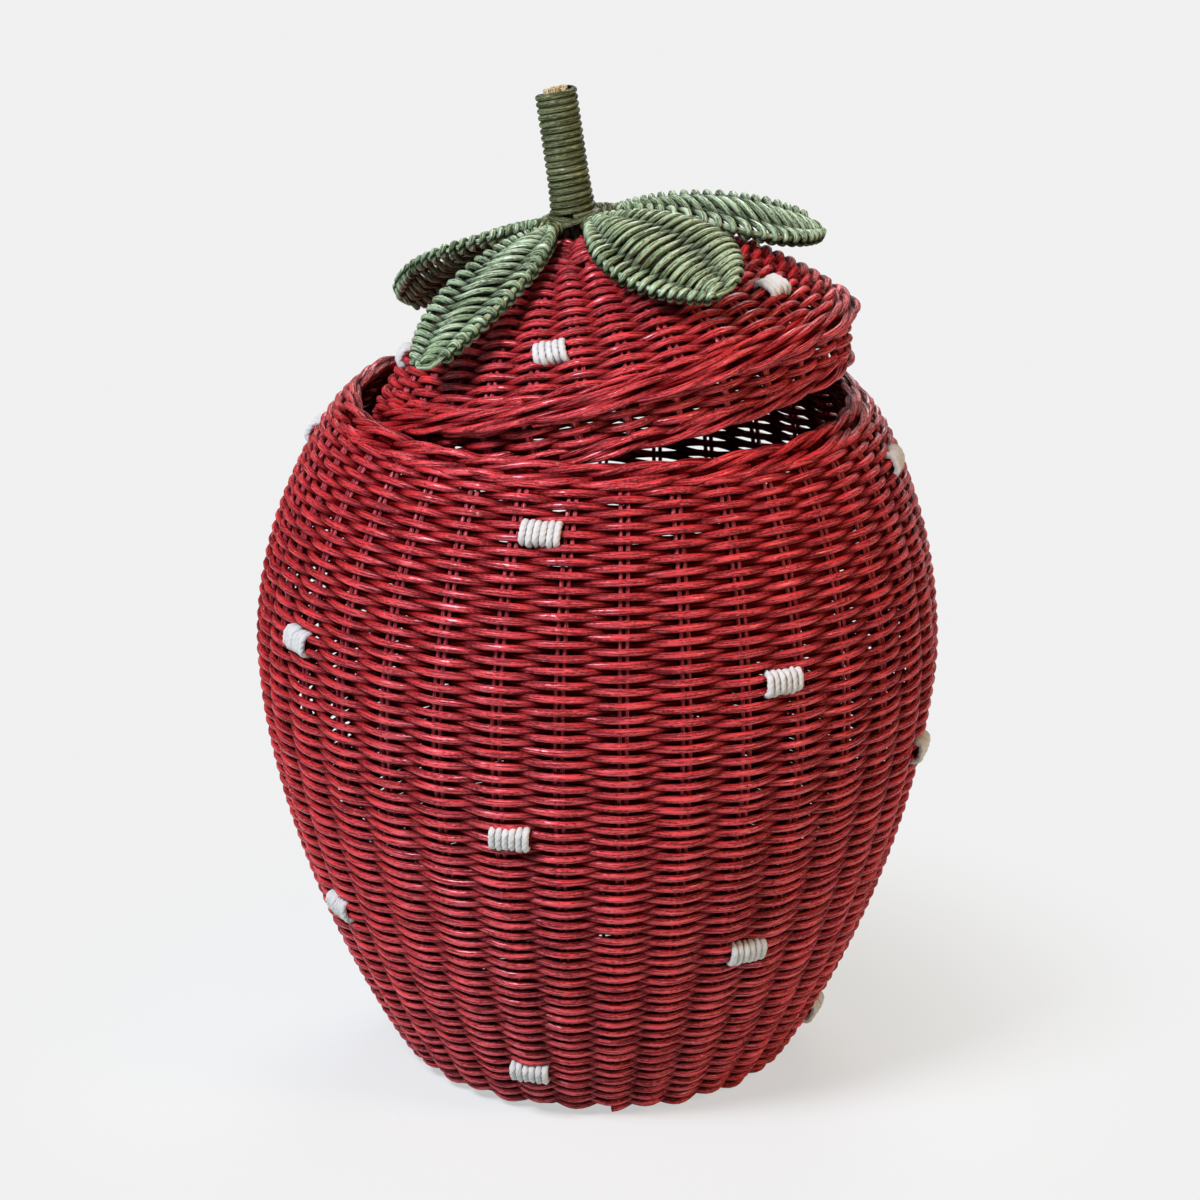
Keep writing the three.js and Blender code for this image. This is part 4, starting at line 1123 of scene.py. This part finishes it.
def leaf_neck(leaf):
    """A cane wound close round the root of a leaf."""
    turn = np.linspace(0, TAU * NECK_TURNS, NECK_TURNS * 16)
    share = -0.015 + turn / TAU * NECK_CANE / leaf_run(leaf)
    across = NECK_HALF_WIDTH * np.sin(turn)
    spots = on_leaf(leaf, share, across, NECK_HALF_THICKNESS * np.cos(turn))[0]
    centre = on_leaf(leaf, share, np.zeros_like(share), 0.0)[0]
    return spots[None], (spots - centre)[None]


# %% Five leaves
for name, leaf in LEAVES.items():
    # the hoop gets a little painted shade, and the rib under the weaver gets more
    mesh = sweep(name + "_hoop", *leaf_hoop(leaf), HOOP_CANE / 2, 8, 0.15)
    show(mesh, leaf_green, "lid", name + "_frame")
    mesh = sweep(name + "_rib", *leaf_rib(leaf), RIB_CANE / 2, 8, 0.4)
    show(mesh, leaf_green, "lid", name + "_midrib")
    spots, outs, lift = leaf_weaver(leaf)
    mesh = sweep(name + "_weaver", spots, outs, LEAF_CANE / 2, 8, leaf_recess(lift))
    show(mesh, leaf_green, "lid", name + "_weave")
    mesh = sweep(name + "_neck", *leaf_neck(leaf), NECK_CANE / 2, 8, crevice(8))
    show(mesh, stem_green, "lid", name + "_frame")

# %% [markdown]
# ## The seeds
#
# Each seed is white twisted cord wound five or six times round a few rows of the weave, so it
# stands a little proud and its turns lie side by side. The twist is in the shape: the section has
# three low lobes that turn along the cord.

# %% Cotton
COTTON = (0.43, 0.475, 0.45)
PALE_COTTON = (0.475, 0.52, 0.495)
LINT_RELIEF = 0.3  # millimetres, as bump
LINT_BUMP = 0.5
COTTON_ROUGHNESS = 0.95
COTTON_SHEEN = 0.15


def cord_material():
    """Off-white cotton with a soft surface and fine lint."""
    made = bpy.data.materials.new("white_cord")
    made.use_nodes = True
    tree = made.node_tree
    mask = add_node(tree, "ShaderNodeGroup", "masks", node_tree=masks)
    feed(tree, tree.nodes["Principled BSDF"], {
        "Base Color": colour_mix(tree, "cotton", mask.outputs["Fibre"], COTTON, PALE_COTTON),
        "Roughness": COTTON_ROUGHNESS, "Sheen Weight": COTTON_SHEEN,
        "Normal": lay_relief(tree, mask.outputs["Fibre"], LINT_BUMP, LINT_RELIEF),
    })
    return made


cotton = cord_material()
print("the cord's finish is", cotton.name)

# %% White cord
SEED_TURNS = 6
LID_SEED_TURNS = 5
SEED_HEIGHT = 13
CORD = 3.2
LOBE_SPACING = 3.25  # from one low lobe of the twist to the next along the cord
LOBE_HEIGHT = 0.10  # share of the cord's radius
CORD_FOOT = 1.0  # from the weave's middle to the ends of a turn
CORD_RISE = SKIN + CORD / 2 - 1.4  # how much higher its middle lies
FIRST_SEED_HEIGHT = 28
SEED_ROW_SPACING = 72
SEED_ROW_ANGLES = (-16.8, 29.5, -14.4, 31, -11.3)
SEEDS_PER_ROW = 4
LID_SEEDS = 5
LID_SEED_RADIUS = 98
FIRST_LID_SEED = -13


def seed(name, turns, profile, arc, angle, radius, place, sides=12, count=26):
    """Turns of cord over the weave: each rises and sinks as a flattened arch, (1 - t**4) ** 0.5."""
    t = np.linspace(-1, 1, count)
    number = np.arange(turns)[:, None]
    uneven = 0.5 * np.sin(2.3 * number + arc)
    along = arc + t * ((SEED_HEIGHT - CORD) / 2 + 0.4 * np.sin(1.9 * number + angle)) + 0.3 * uneven
    turn = angle + ((number - (turns - 1) / 2) * CORD + 0.25 * t) / radius
    depth = CORD_FOOT + CORD_RISE * (1 - np.abs(t) ** 4) ** 0.5 + 0.3 * uneven
    spots, outs = on_profile(profile, along, turn, depth)
    length = SEED_HEIGHT * (t + 1) / 2 + 1.7 * number
    section = TAU * np.arange(sides) / sides
    lobes = 1 + LOBE_HEIGHT * np.cos(3 * section - TAU * length[..., None] / LOBE_SPACING)
    return sweep(name, place(spots), place(outs, True), CORD / 2 * lobes, sides)


for row, row_angle in enumerate(SEED_ROW_ANGLES):
    height = FIRST_SEED_HEIGHT + row * SEED_ROW_SPACING
    arc = float(np.interp(height, wall_skin["height"], wall["arc"]))
    for number in range(SEEDS_PER_ROW):
        angle = np.radians(row_angle) + TAU * number / SEEDS_PER_ROW
        node = f"seed_row{row + 1}_{number + 1}"
        mesh = seed(node + "_cord", SEED_TURNS, wall, arc, angle, float(wall_radius(height)), in_body)
        show(mesh, cotton, "basket", node)
for number in range(LID_SEEDS):
    angle = np.radians(FIRST_LID_SEED) + TAU * number / LID_SEEDS
    node = f"lid_seed_{number + 1}"
    arc = arc_at(LID_SEED_RADIUS)
    mesh = seed(node + "_cord", LID_SEED_TURNS, dome, arc, angle, LID_SEED_RADIUS, in_lid)
    show(mesh, cotton, "lid", node)
